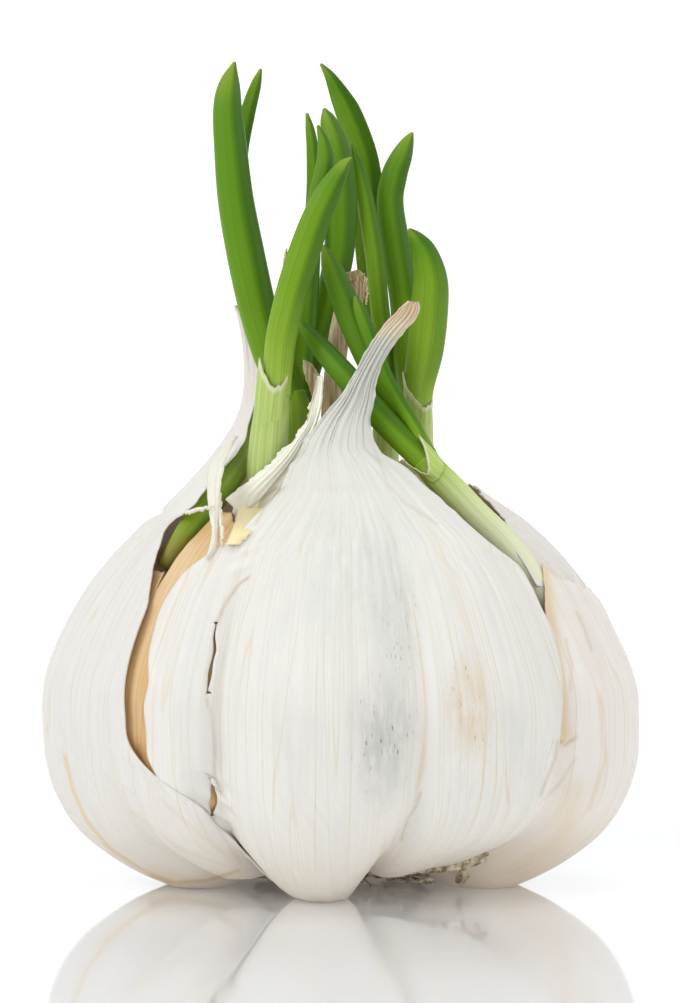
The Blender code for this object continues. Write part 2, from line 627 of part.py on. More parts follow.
def centre_head():
    """Put the head's box over the origin and its feet on the table."""
    objs = [o for o in bpy.data.objects if o.type == "MESH"]
    pts = np.array([tuple(v.co) for o in objs for v in o.data.vertices])
    low, high = pts.min(axis=0), pts.max(axis=0)
    shift = Vector((-(low[0] + high[0]) / 2, -(low[1] + high[1]) / 2, -low[2]))
    for o in objs:
        for v in o.data.vertices:
            v.co += shift


def main():
    clear_scene()
    root_plate(material("root_wood", (0.32, 0.25, 0.17), 0.9))
    flesh = material("clove_skin", (0.72, 0.55, 0.36), 0.5)
    for spec in CLOVES:
        clove(spec, flesh)
    skin_front(material("front_paper", (0.88, 0.86, 0.82), 0.55))
    skin_left(material("left_paper", (0.86, 0.83, 0.8), 0.55))
    skin_right(material("right_paper", (0.87, 0.84, 0.82), 0.55))
    skin_shoulder(material("shoulder_paper", (0.86, 0.82, 0.8), 0.5))
    back_skins(material("back_paper", (0.86, 0.84, 0.8), 0.55))
    skin_flap(material("flap_paper", (0.83, 0.81, 0.72), 0.55))
    green = material("leaf_green", (0.13, 0.27, 0.05), 0.45)
    sprout_front(green)
    sprout_left(green)
    sprout_centre(green)
    sprout_back(green)
    sprout_right(green)
    sprout_slant(green)
    old_stalk(material("stalk_straw", (0.62, 0.49, 0.28), 0.7))
    centre_head()


main()
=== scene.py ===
import json
import math
import random

import bpy
import numpy as np
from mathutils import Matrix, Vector

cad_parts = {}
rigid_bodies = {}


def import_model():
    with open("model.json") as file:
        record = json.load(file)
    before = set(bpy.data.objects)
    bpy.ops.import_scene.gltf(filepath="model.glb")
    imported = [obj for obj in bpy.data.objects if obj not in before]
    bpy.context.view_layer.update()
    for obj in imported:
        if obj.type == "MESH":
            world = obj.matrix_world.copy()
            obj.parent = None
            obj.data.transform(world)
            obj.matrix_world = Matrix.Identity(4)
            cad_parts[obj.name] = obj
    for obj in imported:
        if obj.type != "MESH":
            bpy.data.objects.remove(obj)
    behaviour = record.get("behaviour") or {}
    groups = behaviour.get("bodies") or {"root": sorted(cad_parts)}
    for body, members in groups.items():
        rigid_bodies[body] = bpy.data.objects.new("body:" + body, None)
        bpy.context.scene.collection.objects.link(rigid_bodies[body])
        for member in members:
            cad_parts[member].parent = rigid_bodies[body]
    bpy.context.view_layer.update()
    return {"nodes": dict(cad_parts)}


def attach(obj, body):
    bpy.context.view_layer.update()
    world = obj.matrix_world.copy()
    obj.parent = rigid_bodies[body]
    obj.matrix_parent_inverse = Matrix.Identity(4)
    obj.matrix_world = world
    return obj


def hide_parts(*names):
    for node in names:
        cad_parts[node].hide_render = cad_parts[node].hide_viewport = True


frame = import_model()


# Cloves: nine plump cloves stand in a ring on the root plate, each firm flesh in its own thin tan skin.
# They are rounded off from their solids, and the skin's grain runs from foot to tip.
CLOVE_NAMES = [
    "clove_front_left", "clove_front", "clove_front_right", "clove_right", "clove_right_back",
    "clove_back_right", "clove_back_left", "clove_left_back", "clove_left",
]


def pick_only(piece):
    for other in bpy.context.scene.objects:
        other.select_set(False)
    piece.select_set(True)
    bpy.context.view_layer.objects.active = piece


def use(piece, kind, **settings):
    """Add a modifier to a piece and apply it."""
    pick_only(piece)
    mod = piece.modifiers.new(kind.lower(), kind)
    for key, value in settings.items():
        setattr(mod, key, value)
    bpy.ops.object.modifier_apply(modifier=mod.name)


def node(tree, kind, values=None, **settings):
    """Add a shader node; a value that is a socket is linked in."""
    made = tree.nodes.new("ShaderNode" + kind)
    for key, value in settings.items():
        setattr(made, key, value)
    for key, value in (values or {}).items():
        if isinstance(value, bpy.types.NodeSocket):
            tree.links.new(value, made.inputs[key])
        else:
            made.inputs[key].default_value = value
    return made


def maths(tree, operation, a, b=0.0):
    return node(tree, "Math", {0: a, 1: b}, operation=operation).outputs[0]


def mix(tree, share, a, b):
    """Mix two colours."""
    values = {0: share, 6: a if isinstance(a, bpy.types.NodeSocket) else (*a, 1),
              7: b if isinstance(b, bpy.types.NodeSocket) else (*b, 1)}
    return node(tree, "Mix", values, data_type="RGBA").outputs[2]


def fade(tree, value, start, end, low=0.0, high=1.0):
    """Map a value smoothly from start..end to low..high."""
    values = {0: value, 1: start, 2: end, 3: low, 4: high}
    return node(tree, "MapRange", values, interpolation_type="SMOOTHSTEP").outputs[0]


def noise(tree, vector, scale, detail=3.0, roughness=0.5):
    values = {"Vector": vector, "Scale": scale, "Detail": detail, "Roughness": roughness}
    return node(tree, "TexNoise", values).outputs[0]


def finish(name, rough, shine=0.5, soft=0.0):
    """A new material with its plain numbers set on the shader."""
    mat = bpy.data.materials.new(name)
    mat.use_nodes = True
    shader = mat.node_tree.nodes["Principled BSDF"]
    shader.inputs["Roughness"].default_value = rough
    shader.inputs["Specular IOR Level"].default_value = shine
    shader.inputs["Subsurface Weight"].default_value = soft
    shader.inputs["Subsurface Radius"].default_value = (1.0, 0.7, 0.45)
    shader.inputs["Subsurface Scale"].default_value = 0.0012
    return mat, mat.node_tree, shader


def dress(tree, shader, colour, height, strength, distance):
    """Link a material's colour and its relief."""
    tree.links.new(colour, shader.inputs["Base Color"])
    bump = node(tree, "Bump", {"Height": height, "Strength": strength, "Distance": distance})
    tree.links.new(bump.outputs[0], shader.inputs["Normal"])


def clove_finish():
    mat, tree, shader = finish("tan_clove_skin", 0.38, 0.5, 0.15)
    where = node(tree, "TexCoord").outputs["Object"]
    split = node(tree, "SeparateXYZ", {0: where})
    turn = maths(tree, "ARCTAN2", split.outputs[0], split.outputs[1])
    grain = node(tree, "CombineXYZ", {0: maths(tree, "MULTIPLY", turn, 30.0),
                                      1: maths(tree, "MULTIPLY", split.outputs[2], 60.0)}).outputs[0]
    streaks = noise(tree, grain, 2.2, 4.0)
    clouds = noise(tree, where, 140.0)
    colour = mix(tree, fade(tree, streaks, 0.3, 0.7), (0.60, 0.34, 0.12), (0.74, 0.52, 0.27))
    colour = mix(tree, fade(tree, clouds, 0.35, 0.7, 0.0, 0.6), colour, (0.78, 0.60, 0.38))
    low = fade(tree, split.outputs[2], 0.018, 0.008, 0.0, 0.75)
    colour = mix(tree, low, colour, (0.66, 0.30, 0.07))
    dress(tree, shader, colour, streaks, 0.35, 0.0002)
    return mat


tan_skin = clove_finish()
for clove_name in CLOVE_NAMES:
    mesh = frame["nodes"][clove_name].data.copy()
    clove = bpy.data.objects.new(clove_name.replace("clove", "plump_clove"), mesh)
    bpy.context.scene.collection.objects.link(clove)
    mesh.materials.clear()
    pick_only(clove)
    bpy.ops.object.mode_set(mode="EDIT")
    bpy.ops.mesh.select_all(action="SELECT")
    bpy.ops.mesh.remove_doubles(threshold=0.00001)
    bpy.ops.mesh.tris_convert_to_quads()
    bpy.ops.object.mode_set(mode="OBJECT")
    use(clove, "SUBSURF", levels=2, render_levels=2)
    bpy.ops.object.shade_smooth()
    mesh.materials.append(tan_skin)
    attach(clove, "root")
    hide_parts(clove_name)


# Root plate: the flat woody foot that the cloves grow on, grey brown and cracked, with the cut stubs of
# its roots sticking out from under the skins and a fringe of finer dry root hairs between them.
# Millimetres from the root plate's middle to the middle of the bulb's box.
SHIFT = (-0.138, 0.547, 0.0)


def point(x, y, z):
    """A place in millimetres from the root plate's middle, as a place of the part in metres."""
    return Vector((x + SHIFT[0], y + SHIFT[1], z)) * 0.001


def root_finish():
    mat, tree, shader = finish("dry_root", 0.9, 0.2)
    where = node(tree, "TexCoord").outputs["Object"]
    flecks = noise(tree, where, 900.0, 5.0, 0.7)
    colour = mix(tree, fade(tree, flecks, 0.38, 0.62), (0.24, 0.17, 0.10), (0.78, 0.69, 0.55))
    dress(tree, shader, colour, flecks, 0.9, 0.0004)
    return mat


dry_root = root_finish()
bpy.ops.mesh.primitive_cylinder_add(vertices=72, radius=0.0066, depth=0.0024, location=point(0, 0, 2.2))
plate = bpy.context.active_object
plate.name = "root_plate_disc"
bpy.ops.object.mode_set(mode="EDIT")
bpy.ops.mesh.select_all(action="SELECT")
bpy.ops.mesh.bevel(offset=0.0007, segments=3, affect="EDGES")
bpy.ops.object.mode_set(mode="OBJECT")
bpy.ops.object.transform_apply(location=True, rotation=True, scale=True)
rng = random.Random(4)
for vertex in plate.data.vertices:
    x, y = vertex.co.x, vertex.co.y
    turn = math.atan2(x, -y)
    grow = 1 + 0.05 * math.sin(5 * turn + 1) + 0.03 * math.sin(11 * turn) + rng.uniform(-0.02, 0.02)
    vertex.co.x = x * grow
    vertex.co.y = y * grow
    vertex.co.z += 0.00012 * math.sin(9 * turn) + rng.uniform(-0.0001, 0.0001)

stubs = []
for k in range(150):
    turn = rng.uniform(0, 2 * math.pi)
    thick = rng.uniform(0.13, 0.34) * (1 if k % 3 else 1.5)
    long = rng.uniform(1.6, 4.6)
    start = 6.0 + rng.uniform(-0.9, 0.6)
    low = rng.uniform(0.75, 2.6)
    bpy.ops.mesh.primitive_cylinder_add(vertices=7, radius=thick * 0.001, depth=long * 0.001,
                                        location=(0, 0, 0))
    stub = bpy.context.active_object
    bpy.ops.object.mode_set(mode="EDIT")
    bpy.ops.mesh.select_all(action="SELECT")
    bpy.ops.mesh.subdivide(number_cuts=2)
    bpy.ops.object.mode_set(mode="OBJECT")
    out = Vector((math.sin(turn), -math.cos(turn), 0))
    across = Vector((math.cos(turn), math.sin(turn), 0))
    bow = rng.uniform(-0.5, 0.5)
    drop = rng.uniform(-0.5, 0.35)
    for vertex in stub.data.vertices:
        along = vertex.co.z * 1000 / long + 0.5
        slim = 1.15 - 0.55 * along + rng.uniform(-0.12, 0.12)
        a, b = vertex.co.x * 1000 * slim, vertex.co.y * 1000 * slim
        p = out * (start + long * along) + across * (a + bow * along * along)
        p.z = max(low + drop * along + b, 0.12)
        vertex.co = point(*p)
    stubs.append(stub)
pick_only(plate)
for stub in stubs:
    stub.select_set(True)
bpy.ops.object.join()
bpy.ops.object.shade_smooth_by_angle(angle=0.9)
plate.data.materials.append(dry_root)
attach(plate, "root")
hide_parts("root_plate")


# Front skin: one dry white sheet over the three front cloves, torn free on both sides and gathered at
# the top into a curled pointed flame. Dry papery skin, with fine veins that run from foot to tip.
# The bulb's outline from its foot up: distance from the middle and height, in millimetres.
CREST = [
    (7.0, 2.6), (10.4, 0.9), (12.8, -0.25), (15.2, -0.65), (17.6, -0.25), (20.0, 0.7), (22.6, 2.0),
    (25.2, 3.7), (27.6, 5.7), (29.4, 8.0), (30.7, 10.5), (31.5, 13.2), (31.9, 16.1), (32.1, 19.0),
    (32.1, 21.6), (31.5, 24.2), (30.4, 27.0), (29.0, 29.8), (27.2, 32.6), (25.2, 35.2), (22.9, 37.7),
    (20.2, 40.1), (17.4, 42.3), (14.8, 44.6), (12.6, 47.0), (11.2, 49.4), (10.3, 51.8), (9.8, 54.2),
]
# Each clove's first angle, fullness, foot lift, depth of the valley before it, and shoulder slimness.
ROUND = [
    (-46.0, 0.965, 2.4, 0.45, 0.04), (-25.0, 1.0, -0.4, 1.0, 0.02), (17.0, 0.985, 3.7, 1.0, 0.06),
    (52.0, 1.03, -0.25, 0.9, 0.13), (100.0, 0.99, 0.0, 0.8, 0.12), (142.0, 1.0, 0.8, 1.0, 0.04),
    (180.0, 1.0, 0.8, 1.0, 0.03), (218.0, 0.99, 0.0, 1.0, 0.05), (256.0, 1.012, 0.0, 0.7, 0.05),
]
STARTS = np.array([c[0] for c in ROUND])
ENDS = np.append(STARTS[1:], 314.0)
MIDDLES = (STARTS + ENDS) / 2
# The front view: millimetres in a pixel, the floor's row, the bulb's middle column, how far away the
# camera is, how much it looks down, and where its line of sight passes the bulb's middle.
PX, FLOOR_ROW, MID_COLUMN, FAR = 0.1083, 882.3, 339.0, 603.0
TILT = math.radians(3.0)
VIEW_X, VIEW_Z = (340.0 - MID_COLUMN) * PX, (FLOOR_ROW - 501.5) * PX


def smooth_rows(rows, count):
    """Even samples of smooth lines through rows of numbers; the first two numbers set the spacing."""
    pts = np.array(rows, float)
    pts = np.concatenate([[2 * pts[0] - pts[1]], pts, [2 * pts[-1] - pts[-2]]])
    out = []
    for i in range(1, len(pts) - 2):
        a, b, c, d = pts[i - 1:i + 3]
        for k in range(12):
            t = k / 12
            out.append(0.5 * (2 * b + (c - a) * t + (2 * a - 5 * b + 4 * c - d) * t * t
                              + (3 * b - 3 * c + d - a) * t ** 3))
    out.append(pts[-2])
    out = np.array(out)
    flat = out.reshape(len(out), -1)
    steps = np.linalg.norm(np.diff(out, axis=0)[..., :2], axis=-1).reshape(len(out) - 1, -1).mean(axis=1)
    run = np.concatenate([[0], np.cumsum(steps)])
    even = np.linspace(0, run[-1], count)
    made = np.array([np.interp(even, run, flat[:, j]) for j in range(flat.shape[1])]).T
    return made.reshape((count,) + out.shape[1:])


LINE = smooth_rows(CREST, 161)
STEP = np.gradient(LINE, axis=0)
OUT = np.stack([STEP[:, 1], -STEP[:, 0]], 1)
OUT /= np.linalg.norm(OUT, axis=1)[:, None]
SHARE = np.linspace(0, 1, len(LINE))
FOOT = int(np.argmin(LINE[:, 1]))


def t_at(z):
    """How far up the outline, 0 to 1, the height z is."""
    return np.interp(z, LINE[FOOT:, 1], SHARE[FOOT:])


SHOULDER = [float(t_at(z)) for z in (14, 22, 28, 33, 37, 39.5, 42, 44)]


def round_value(angle, column):
    """A value of the cloves, blended smoothly from one clove's middle to the next one's."""
    values = np.array([c[column] for c in ROUND])
    a = (angle - MIDDLES[0]) % 360 + MIDDLES[0]
    k = np.searchsorted(MIDDLES, a, side="right") - 1
    after = np.append(MIDDLES[1:], MIDDLES[0] + 360)
    f = (a - MIDDLES[k]) / (after[k] - MIDDLES[k])
    f = f * f * (3 - 2 * f)
    return values[k] * (1 - f) + values[(k + 1) % len(ROUND)] * f


def on_head(angle, t, lift=0.0):
    """Points of the skin over the cloves, in millimetres, at angles round the head and shares t up it."""
    angle, t = np.broadcast_arrays(np.asarray(angle, float), np.asarray(t, float))
    front = np.cos(np.radians(np.clip((angle + 190.0) % 360.0 - 180.0, -90, 90))) ** 2
    a = (angle + np.interp(t, [0, 0.16, 0.42], [7.0, 6.0, 0.0]) * front + 46.0) % 360.0 - 46.0
    k = np.searchsorted(STARTS, a, side="right") - 1
    u = 2 * (a - STARTS[k]) / (ENDS[k] - STARTS[k]) - 1
    share = np.array([c[3] for c in ROUND])[(k + (u > 0)) % len(ROUND)]
    valley = np.interp(t, [0, 0.12, 0.25, 0.45, 0.8, 1], [0.24, 0.22, 0.13, 0.095, 0.06, 0.03])
    bend = np.abs(u) ** np.interp(t, [0, 0.3, 0.6], [3.4, 2.9, 2.2])
    w = -0.05 * np.log(np.exp(-bend / 0.05) + math.exp(-0.9 / 0.05)) * share
    r = np.interp(t, SHARE, LINE[:, 0]) + np.interp(t, SHARE, OUT[:, 0]) * lift
    z = np.interp(t, SHARE, LINE[:, 1]) + np.interp(t, SHARE, OUT[:, 1]) * lift
    shoulder = np.interp(t, SHOULDER, [0, 0.13, 0.24, 0.27, 0.4, 0.5, 0.85, 1])
    r = r * round_value(angle, 1) * (1 - valley * w) * (1 - round_value(angle, 4) * shoulder)
    low = np.interp(t, [0, 0.1, 0.22, 0.36], [0.6, 1, 0.7, 0])
    z = np.maximum(z + low * (2.8 * w + round_value(angle, 2)), 0.0)
    a = np.radians(angle)
    return np.stack([r * np.sin(a), -r * np.cos(a), z], -1)


def place(column, row, depth):
    """The place, in millimetres, at a column and row of the view, at a depth behind the middle."""
    column, row, depth = np.broadcast_arrays(*(np.asarray(v, float) for v in (column, row, depth)))
    k = (FAR + depth) / FAR
    x = VIEW_X + ((column - MID_COLUMN) * PX - VIEW_X) * k
    up = VIEW_Z + ((FLOOR_ROW - row) * PX - VIEW_Z) * k
    return np.stack([x, depth, (up - depth * math.sin(TILT)) / math.cos(TILT)], -1)


def seen_at(p):
    """Columns and rows of the view where places in millimetres are seen."""
    k = (FAR + p[..., 1]) / FAR
    up = p[..., 2] * math.cos(TILT) + p[..., 1] * math.sin(TILT)
    column = MID_COLUMN + (VIEW_X + (p[..., 0] - VIEW_X) / k) / PX
    return column, FLOOR_ROW - (VIEW_Z + (up - VIEW_Z) / k) / PX


def behind(column, row):
    """The angle and t of the head's skin that is seen at a column and row."""
    depth = -20.0
    for _ in range(14):
        p = place(column, row, depth)
        t = float(t_at(p[2]))
        angle = math.degrees(math.asin(max(-0.98, min(0.98, p[0] / np.interp(t, SHARE, LINE[:, 0])))))
        for _ in range(4):
            q = on_head(angle, t)
            r = max(math.hypot(q[0], q[1]), abs(p[0]) * 1.01)
            angle = math.degrees(math.asin(p[0] / r))
        depth = 0.5 * depth - 0.5 * r * math.cos(math.radians(angle))
    return angle, t


def torn_edge(traced, foot_angle):
    """A torn edge as shares t and angles, from columns and rows traced down it, carried to the foot."""
    found = sorted((t, angle) for angle, t in (behind(*p) for p in traced))
    return [0.0, 0.14] + [f[0] for f in found], [foot_angle, foot_angle] + [f[1] for f in found]


def ragged(count, size, seed, fine=0.5):
    """A jagged line of small steps, the way a dry skin tears."""
    rough = np.random.default_rng(seed)
    wide = np.convolve(rough.normal(size=count + 24), np.hanning(13), "valid")[:count]
    sharp = np.convolve(rough.normal(size=count + 4), [0.3, 0.5, 0.3], "valid")[:count]
    return size * ((1 - fine) * wide / 2.2 + fine * sharp)


def drawn(grid, lines):
    """How near the places of a grid are to traced lines, each a width in pixels, a share and its corners."""
    column, row = seen_at(grid)
    near = np.zeros(grid.shape[:2])
    for wide, share, corners in lines:
        for (x1, y1), (x2, y2) in zip(corners[:-1], corners[1:]):
            dx, dy = x2 - x1, y2 - y1
            s = np.clip(((column - x1) * dx + (row - y1) * dy) / (dx * dx + dy * dy), 0, 1)
            away = np.hypot(column - x1 - s * dx, row - y1 - s * dy)
            near = np.maximum(near, share * np.exp(-(away / wide) ** 2))
    return near * (grid[..., 1] < 4.0)


def tear(grid, slits):
    """Draw the places of a grid apart along slits, each traced in columns, rows and half widths down it."""
    column, row = seen_at(grid)
    whole = np.arange(grid.shape[1])
    gone = np.zeros(grid.shape[:2], bool)
    torn = grid.copy()
    for slit in slits:
        x, y, half = np.array(slit, float).T
        middle = len(x) // 2
        away = np.hypot(column - x[middle], row - y[middle]) + 1000 * (grid[..., 1] > 0)
        j = int(np.unravel_index(np.argmin(away), away.shape)[1])
        near = slice(max(j - 16, 0), j + 17)
        for i in range(grid.shape[0]):
            beyond = max(y[0] - row[i, j], row[i, j] - y[-1], 0.0)
            if beyond > 14 or grid[i, j, 1] > 0:
                continue
            at, wide = np.interp(row[i, j], y, x), np.interp(row[i, j], y, half)
            share = 1 - beyond / 14
            centre = share * (np.interp(at, column[i, near], whole[near]) - j)
            before = after = centre
            if beyond == 0:
                before = np.interp(at - wide, column[i, near], whole[near]) - (j - 1)
                after = np.interp(at + wide, column[i, near], whole[near]) - (j + 1)
                gone[i, j] = True
            moved = whole + np.where(whole < j, before, after) * np.exp(-((whole - j) / 8) ** 2)
            moved[j] = j + centre
            for k in range(grid.shape[2]):
                torn[i, :, k] = np.interp(moved, whole, grid[i, :, k])
    return torn, gone


def fill_map(mesh, layer, across, up):
    """Give a map of a mesh its two values at each vertex."""
    corner = np.zeros(len(mesh.loops), np.int32)
    mesh.loops.foreach_get("vertex_index", corner)
    uv = np.stack([across.ravel()[corner], up.ravel()[corner]], 1)
    layer.data.foreach_set("uv", uv.astype(np.float32).ravel())


def bent_grid(grid, across, up):
    """A grid primitive bent onto rows of places in millimetres, with its map of fibres."""
    n, m = grid.shape[:2]
    bpy.ops.mesh.primitive_grid_add(x_subdivisions=m - 1, y_subdivisions=n - 1, size=1)
    sheet = bpy.context.active_object
    places = (grid.reshape(-1, 3) + SHIFT) * 0.001
    sheet.data.vertices.foreach_set("co", places.astype(np.float32).ravel())
    sheet.data.uv_layers[0].name = "fibres"
    fill_map(sheet.data, sheet.data.uv_layers[0], across, up)
    return sheet


def thin_skin(name, grid, across, up, thick=0.17, gone=None, marks=None):
    """A thin skin, thickened inwards, with its fibres mapped in centimetres.

    The faces at the places marked as gone are torn out. Marks are shares of brown and of cream in it,
    partly painted shade.
    """
    skin = bent_grid(grid, across * 0.1, up * 0.1)
    skin.name = name
    if marks is not None:
        fill_map(skin.data, skin.data.uv_layers.new(name="marks"), *marks)
    skin.data.update()
    if gone is not None:
        pick_only(skin)
        lost = gone.ravel()
        bpy.ops.object.mode_set(mode="EDIT")
        bpy.ops.mesh.select_mode(type="VERT")
        bpy.ops.mesh.select_all(action="DESELECT")
        bpy.ops.object.mode_set(mode="OBJECT")
        for vertex in skin.data.vertices:
            vertex.select = bool(lost[vertex.index])
        bpy.ops.object.mode_set(mode="EDIT")
        bpy.ops.mesh.delete(type="VERT")
        bpy.ops.object.mode_set(mode="OBJECT")
    use(skin, "SOLIDIFY", thickness=thick * 0.001, offset=-1.0)
    bpy.ops.object.shade_smooth()
    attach(skin, "root")
    return skin


def fibre_pattern():
    """The streaks, veins and clouding of dry skin, from a map in centimetres across and up it."""
    group = bpy.data.node_groups.new("dry_skin_fibres", "ShaderNodeTree")
    group.interface.new_socket("Fibres", in_out="INPUT", socket_type="NodeSocketVector")
    for made in ("Streaks", "Veins", "Clouds"):
        group.interface.new_socket(made, in_out="OUTPUT", socket_type="NodeSocketFloat")
    entry, leave = group.nodes.new("NodeGroupInput"), group.nodes.new("NodeGroupOutput")
    fine = node(group, "Mapping", {0: entry.outputs[0], "Scale": (24.0, 0.28, 1.0)}).outputs[0]
    broad = node(group, "Mapping", {0: entry.outputs[0], "Scale": (1.5, 0.045, 1.0)}).outputs[0]
    streaks = noise(group, fine, 1.0, 3.0, 0.6)
    wander = noise(group, broad, 1.0, 2.0, 0.4)
    line = maths(group, "ABSOLUTE", maths(group, "SUBTRACT", maths(group, "FRACT", maths(
        group, "MULTIPLY", wander, 16.0)), 0.5))
    veins = fade(group, line, 0.0, 0.075, 1.0, 0.0)
    patches = node(group, "Mapping", {0: entry.outputs[0], "Scale": (2.4, 0.7, 1.0)}).outputs[0]
    clouds = noise(group, patches, 1.0, 4.0, 0.6)
    for k, socket in enumerate((streaks, veins, clouds)):
        group.links.new(socket, leave.inputs[k])
    return group


FIBRES = fibre_pattern()


def fibres_in(tree):
    """A skin's map of fibres and the streaks, veins and clouds on it."""
    fibres = node(tree, "UVMap", uv_map="fibres").outputs[0]
    pattern = tree.nodes.new("ShaderNodeGroup")
    pattern.node_tree = FIBRES
    tree.links.new(fibres, pattern.inputs[0])
    return fibres, *pattern.outputs


def paper_finish(name, white, vein, cloud, vein_share=0.55, rough=0.46, soft=0.1, low=None, marked=False):
    """Dry white skin: cream streaks, yellowish veins, greyer clouds, and a warmer, browner foot."""
    mat, tree, shader = finish(name, rough, 0.45, soft)
    fibres, streaks, veins, clouds = fibres_in(tree)
    pale = tuple(min(1.0, c * 1.05) for c in white)
    warm = tuple(a * b for a, b in zip(white, (0.975, 0.935, 0.85)))
    colour = mix(tree, fade(tree, streaks, 0.42, 0.7), pale, white)
    colour = mix(tree, fade(tree, streaks, 0.5, 0.34, 0.0, 0.8), colour, warm)
    colour = mix(tree, fade(tree, clouds, 0.42, 0.72, 0.0, 0.75), colour, cloud)
    gaps = fade(tree, clouds, 0.3, 0.62, vein_share, vein_share * 0.25)
    colour = mix(tree, maths(tree, "MULTIPLY", veins, gaps), colour, vein)
    up = node(tree, "SeparateXYZ", {0: fibres}).outputs[1]
    if low:
        colour = mix(tree, fade(tree, up, 3.2, 0.8, 0.0, 0.85), colour, low)
        ragged_up = maths(tree, "ADD", up, maths(tree, "MULTIPLY", streaks, 0.35))
        colour = mix(tree, fade(tree, ragged_up, 0.42, 0.2, 0.0, 0.85), colour, (0.42, 0.33, 0.21))
    if marked:
        marks = node(tree, "SeparateXYZ", {0: node(tree, "UVMap", uv_map="marks").outputs[0]})
        # The first share of the marks paints brown lines, broken up by the streaks; some are painted shade,
        # such as the line along an upper layer's edge on the front skin.
        brown_line_and_shade = maths(tree, "MULTIPLY", marks.outputs[0], fade(tree, streaks, 0.25, 0.6, 0.55, 1.0))
        # The second share of the marks paints cream; on the right skin it includes painted shade along the
        # free edge.
        colour = mix(tree, marks.outputs[1], colour, (0.72, 0.54, 0.31))
        colour = mix(tree, brown_line_and_shade, colour, (0.40, 0.22, 0.08))
    height = maths(tree, "ADD", streaks, maths(tree, "MULTIPLY", veins, 0.5))
    dress(tree, shader, colour, height, 0.35, 0.00012)
    return mat, tree, shader, fibres, colour


def spot(tree, column, row, wide, high):
    """A soft patch of the skin round the place seen at a column and row, its sizes in millimetres."""
    centre = point(*on_head(*behind(column, row)))
    where = node(tree, "TexCoord").outputs["Object"]
    away = node(tree, "VectorMath", {0: where, 1: tuple(centre)}, operation="SUBTRACT").outputs[0]
    scale = (1000 / wide, 1000 / (2 * wide), 1000 / high)
    away = node(tree, "VectorMath", {0: away, 1: scale}, operation="MULTIPLY").outputs[0]
    far = node(tree, "VectorMath", {0: away}, operation="LENGTH").outputs["Value"]
    return fade(tree, far, 0.15, 1.0, 1.0, 0.0)


def front_finish():
    mat, tree, shader, fibres, colour = paper_finish(
        "front_paper", (0.785, 0.765, 0.715), (0.74, 0.60, 0.38), (0.73, 0.72, 0.68), 0.8,
        low=(0.76, 0.68, 0.59), marked=True)
    long = node(tree, "Mapping", {0: fibres, "Scale": (32.0, 6.5, 1.0)}).outputs[0]
    dots = node(tree, "TexVoronoi", {"Vector": long, "Scale": 1.0}).outputs["Distance"]
    dots = fade(tree, dots, 0.12, 0.26, 1.0, 0.0)
    wide_map = node(tree, "Mapping", {0: fibres, "Scale": (9.0, 2.0, 1.0)}).outputs[0]
    patchy = noise(tree, wide_map, 1.0, 5.0, 0.65)
    for column, row, wide, high, tint, ink in (
            (385, 738, 4.8, 9.5, (0.55, 0.545, 0.515), (0.10, 0.085, 0.07)),
            (470, 705, 3.6, 7.5, (0.73, 0.59, 0.42), (0.24, 0.14, 0.07)),
            (395, 610, 4.0, 13.0, (0.66, 0.66, 0.61), (0.20, 0.18, 0.15)),
            (355, 560, 10.0, 12.0, (0.68, 0.695, 0.64), (0.62, 0.62, 0.56))):
        near = spot(tree, column, row, wide, high)
        stain = maths(tree, "MULTIPLY", near, fade(tree, patchy, 0.34, 0.62, 0.25, 0.9))
        colour = mix(tree, stain, colour, tint)
        specks = maths(tree, "MULTIPLY", maths(tree, "MULTIPLY", dots, near), fade(tree, patchy, 0.44, 0.6))
        colour = mix(tree, specks, colour, ink)
    up = node(tree, "SeparateXYZ", {0: fibres}).outputs[1]
    colour = mix(tree, fade(tree, up, 6.2, 8.4, 0.0, 0.5), colour, (0.64, 0.67, 0.595))
    colour = mix(tree, fade(tree, up, 9.3, 9.6, 0.0, 0.7), colour, (0.95, 0.80, 0.55))
    colour = mix(tree, fade(tree, up, 9.6, 9.85, 0.0, 0.55), colour, (0.78, 0.58, 0.36))
    tree.links.new(colour, shader.inputs["Base Color"])
    return mat


# Columns and rows down the torn edges, and the flame's rows: row, first and last column, depth and bow.
FRONT_LEFT_EDGE = [
    (253, 527), (230, 541), (206, 558), (194, 566), (182, 576), (168, 598), (162, 610), (156, 632),
    (151, 653), (149, 677), (149, 697), (144, 716), (147, 730), (149, 743), (151, 759), (153, 776),
    (166, 790), (190, 812), (206, 830), (232, 862),
]
FRONT_RIGHT_EDGE = [
    (478, 535), (498, 553), (522, 571), (530, 586), (538, 604), (549, 626), (557, 651), (562, 687),
    (561, 726), (559, 741), (555, 759), (542, 792),
]
FLAME = [
    (497, 274, 438, -16.3, 0.035), (484, 281, 424, -15.4, 0.043), (467, 289, 405, -14.2, 0.055),
    (450, 301, 379, -13.1, 0.07), (436, 309, 374, -12.7, 0.09), (420, 320, 372, -12.3, 0.11),
    (401, 336, 374, -11.9, 0.15), (377, 352, 377, -11.6, 0.2), (349, 369, 390, -11.3, 0.2),
    (332, 379, 403, -11.1, 0.2), (317, 394, 415, -10.9, 0.2), (309, 401, 418, -10.8, 0.2),
    (302, 408, 417, -10.7, 0.2),
]
# Each slit of the front skin: its columns, rows and half widths.
FRONT_SLITS = [
    [(216, 625, 0.3), (214, 636, 0.9), (215, 650, 1.6), (212, 662, 1.1), (210, 672, 2.2), (209, 680, 1.6),
     (207, 690, 0.3)],
    [(214, 778, 0.3), (213, 786, 2.0), (214, 796, 3.2), (213, 806, 3.4), (212, 813, 2.0), (211, 818, 0.3)],
]
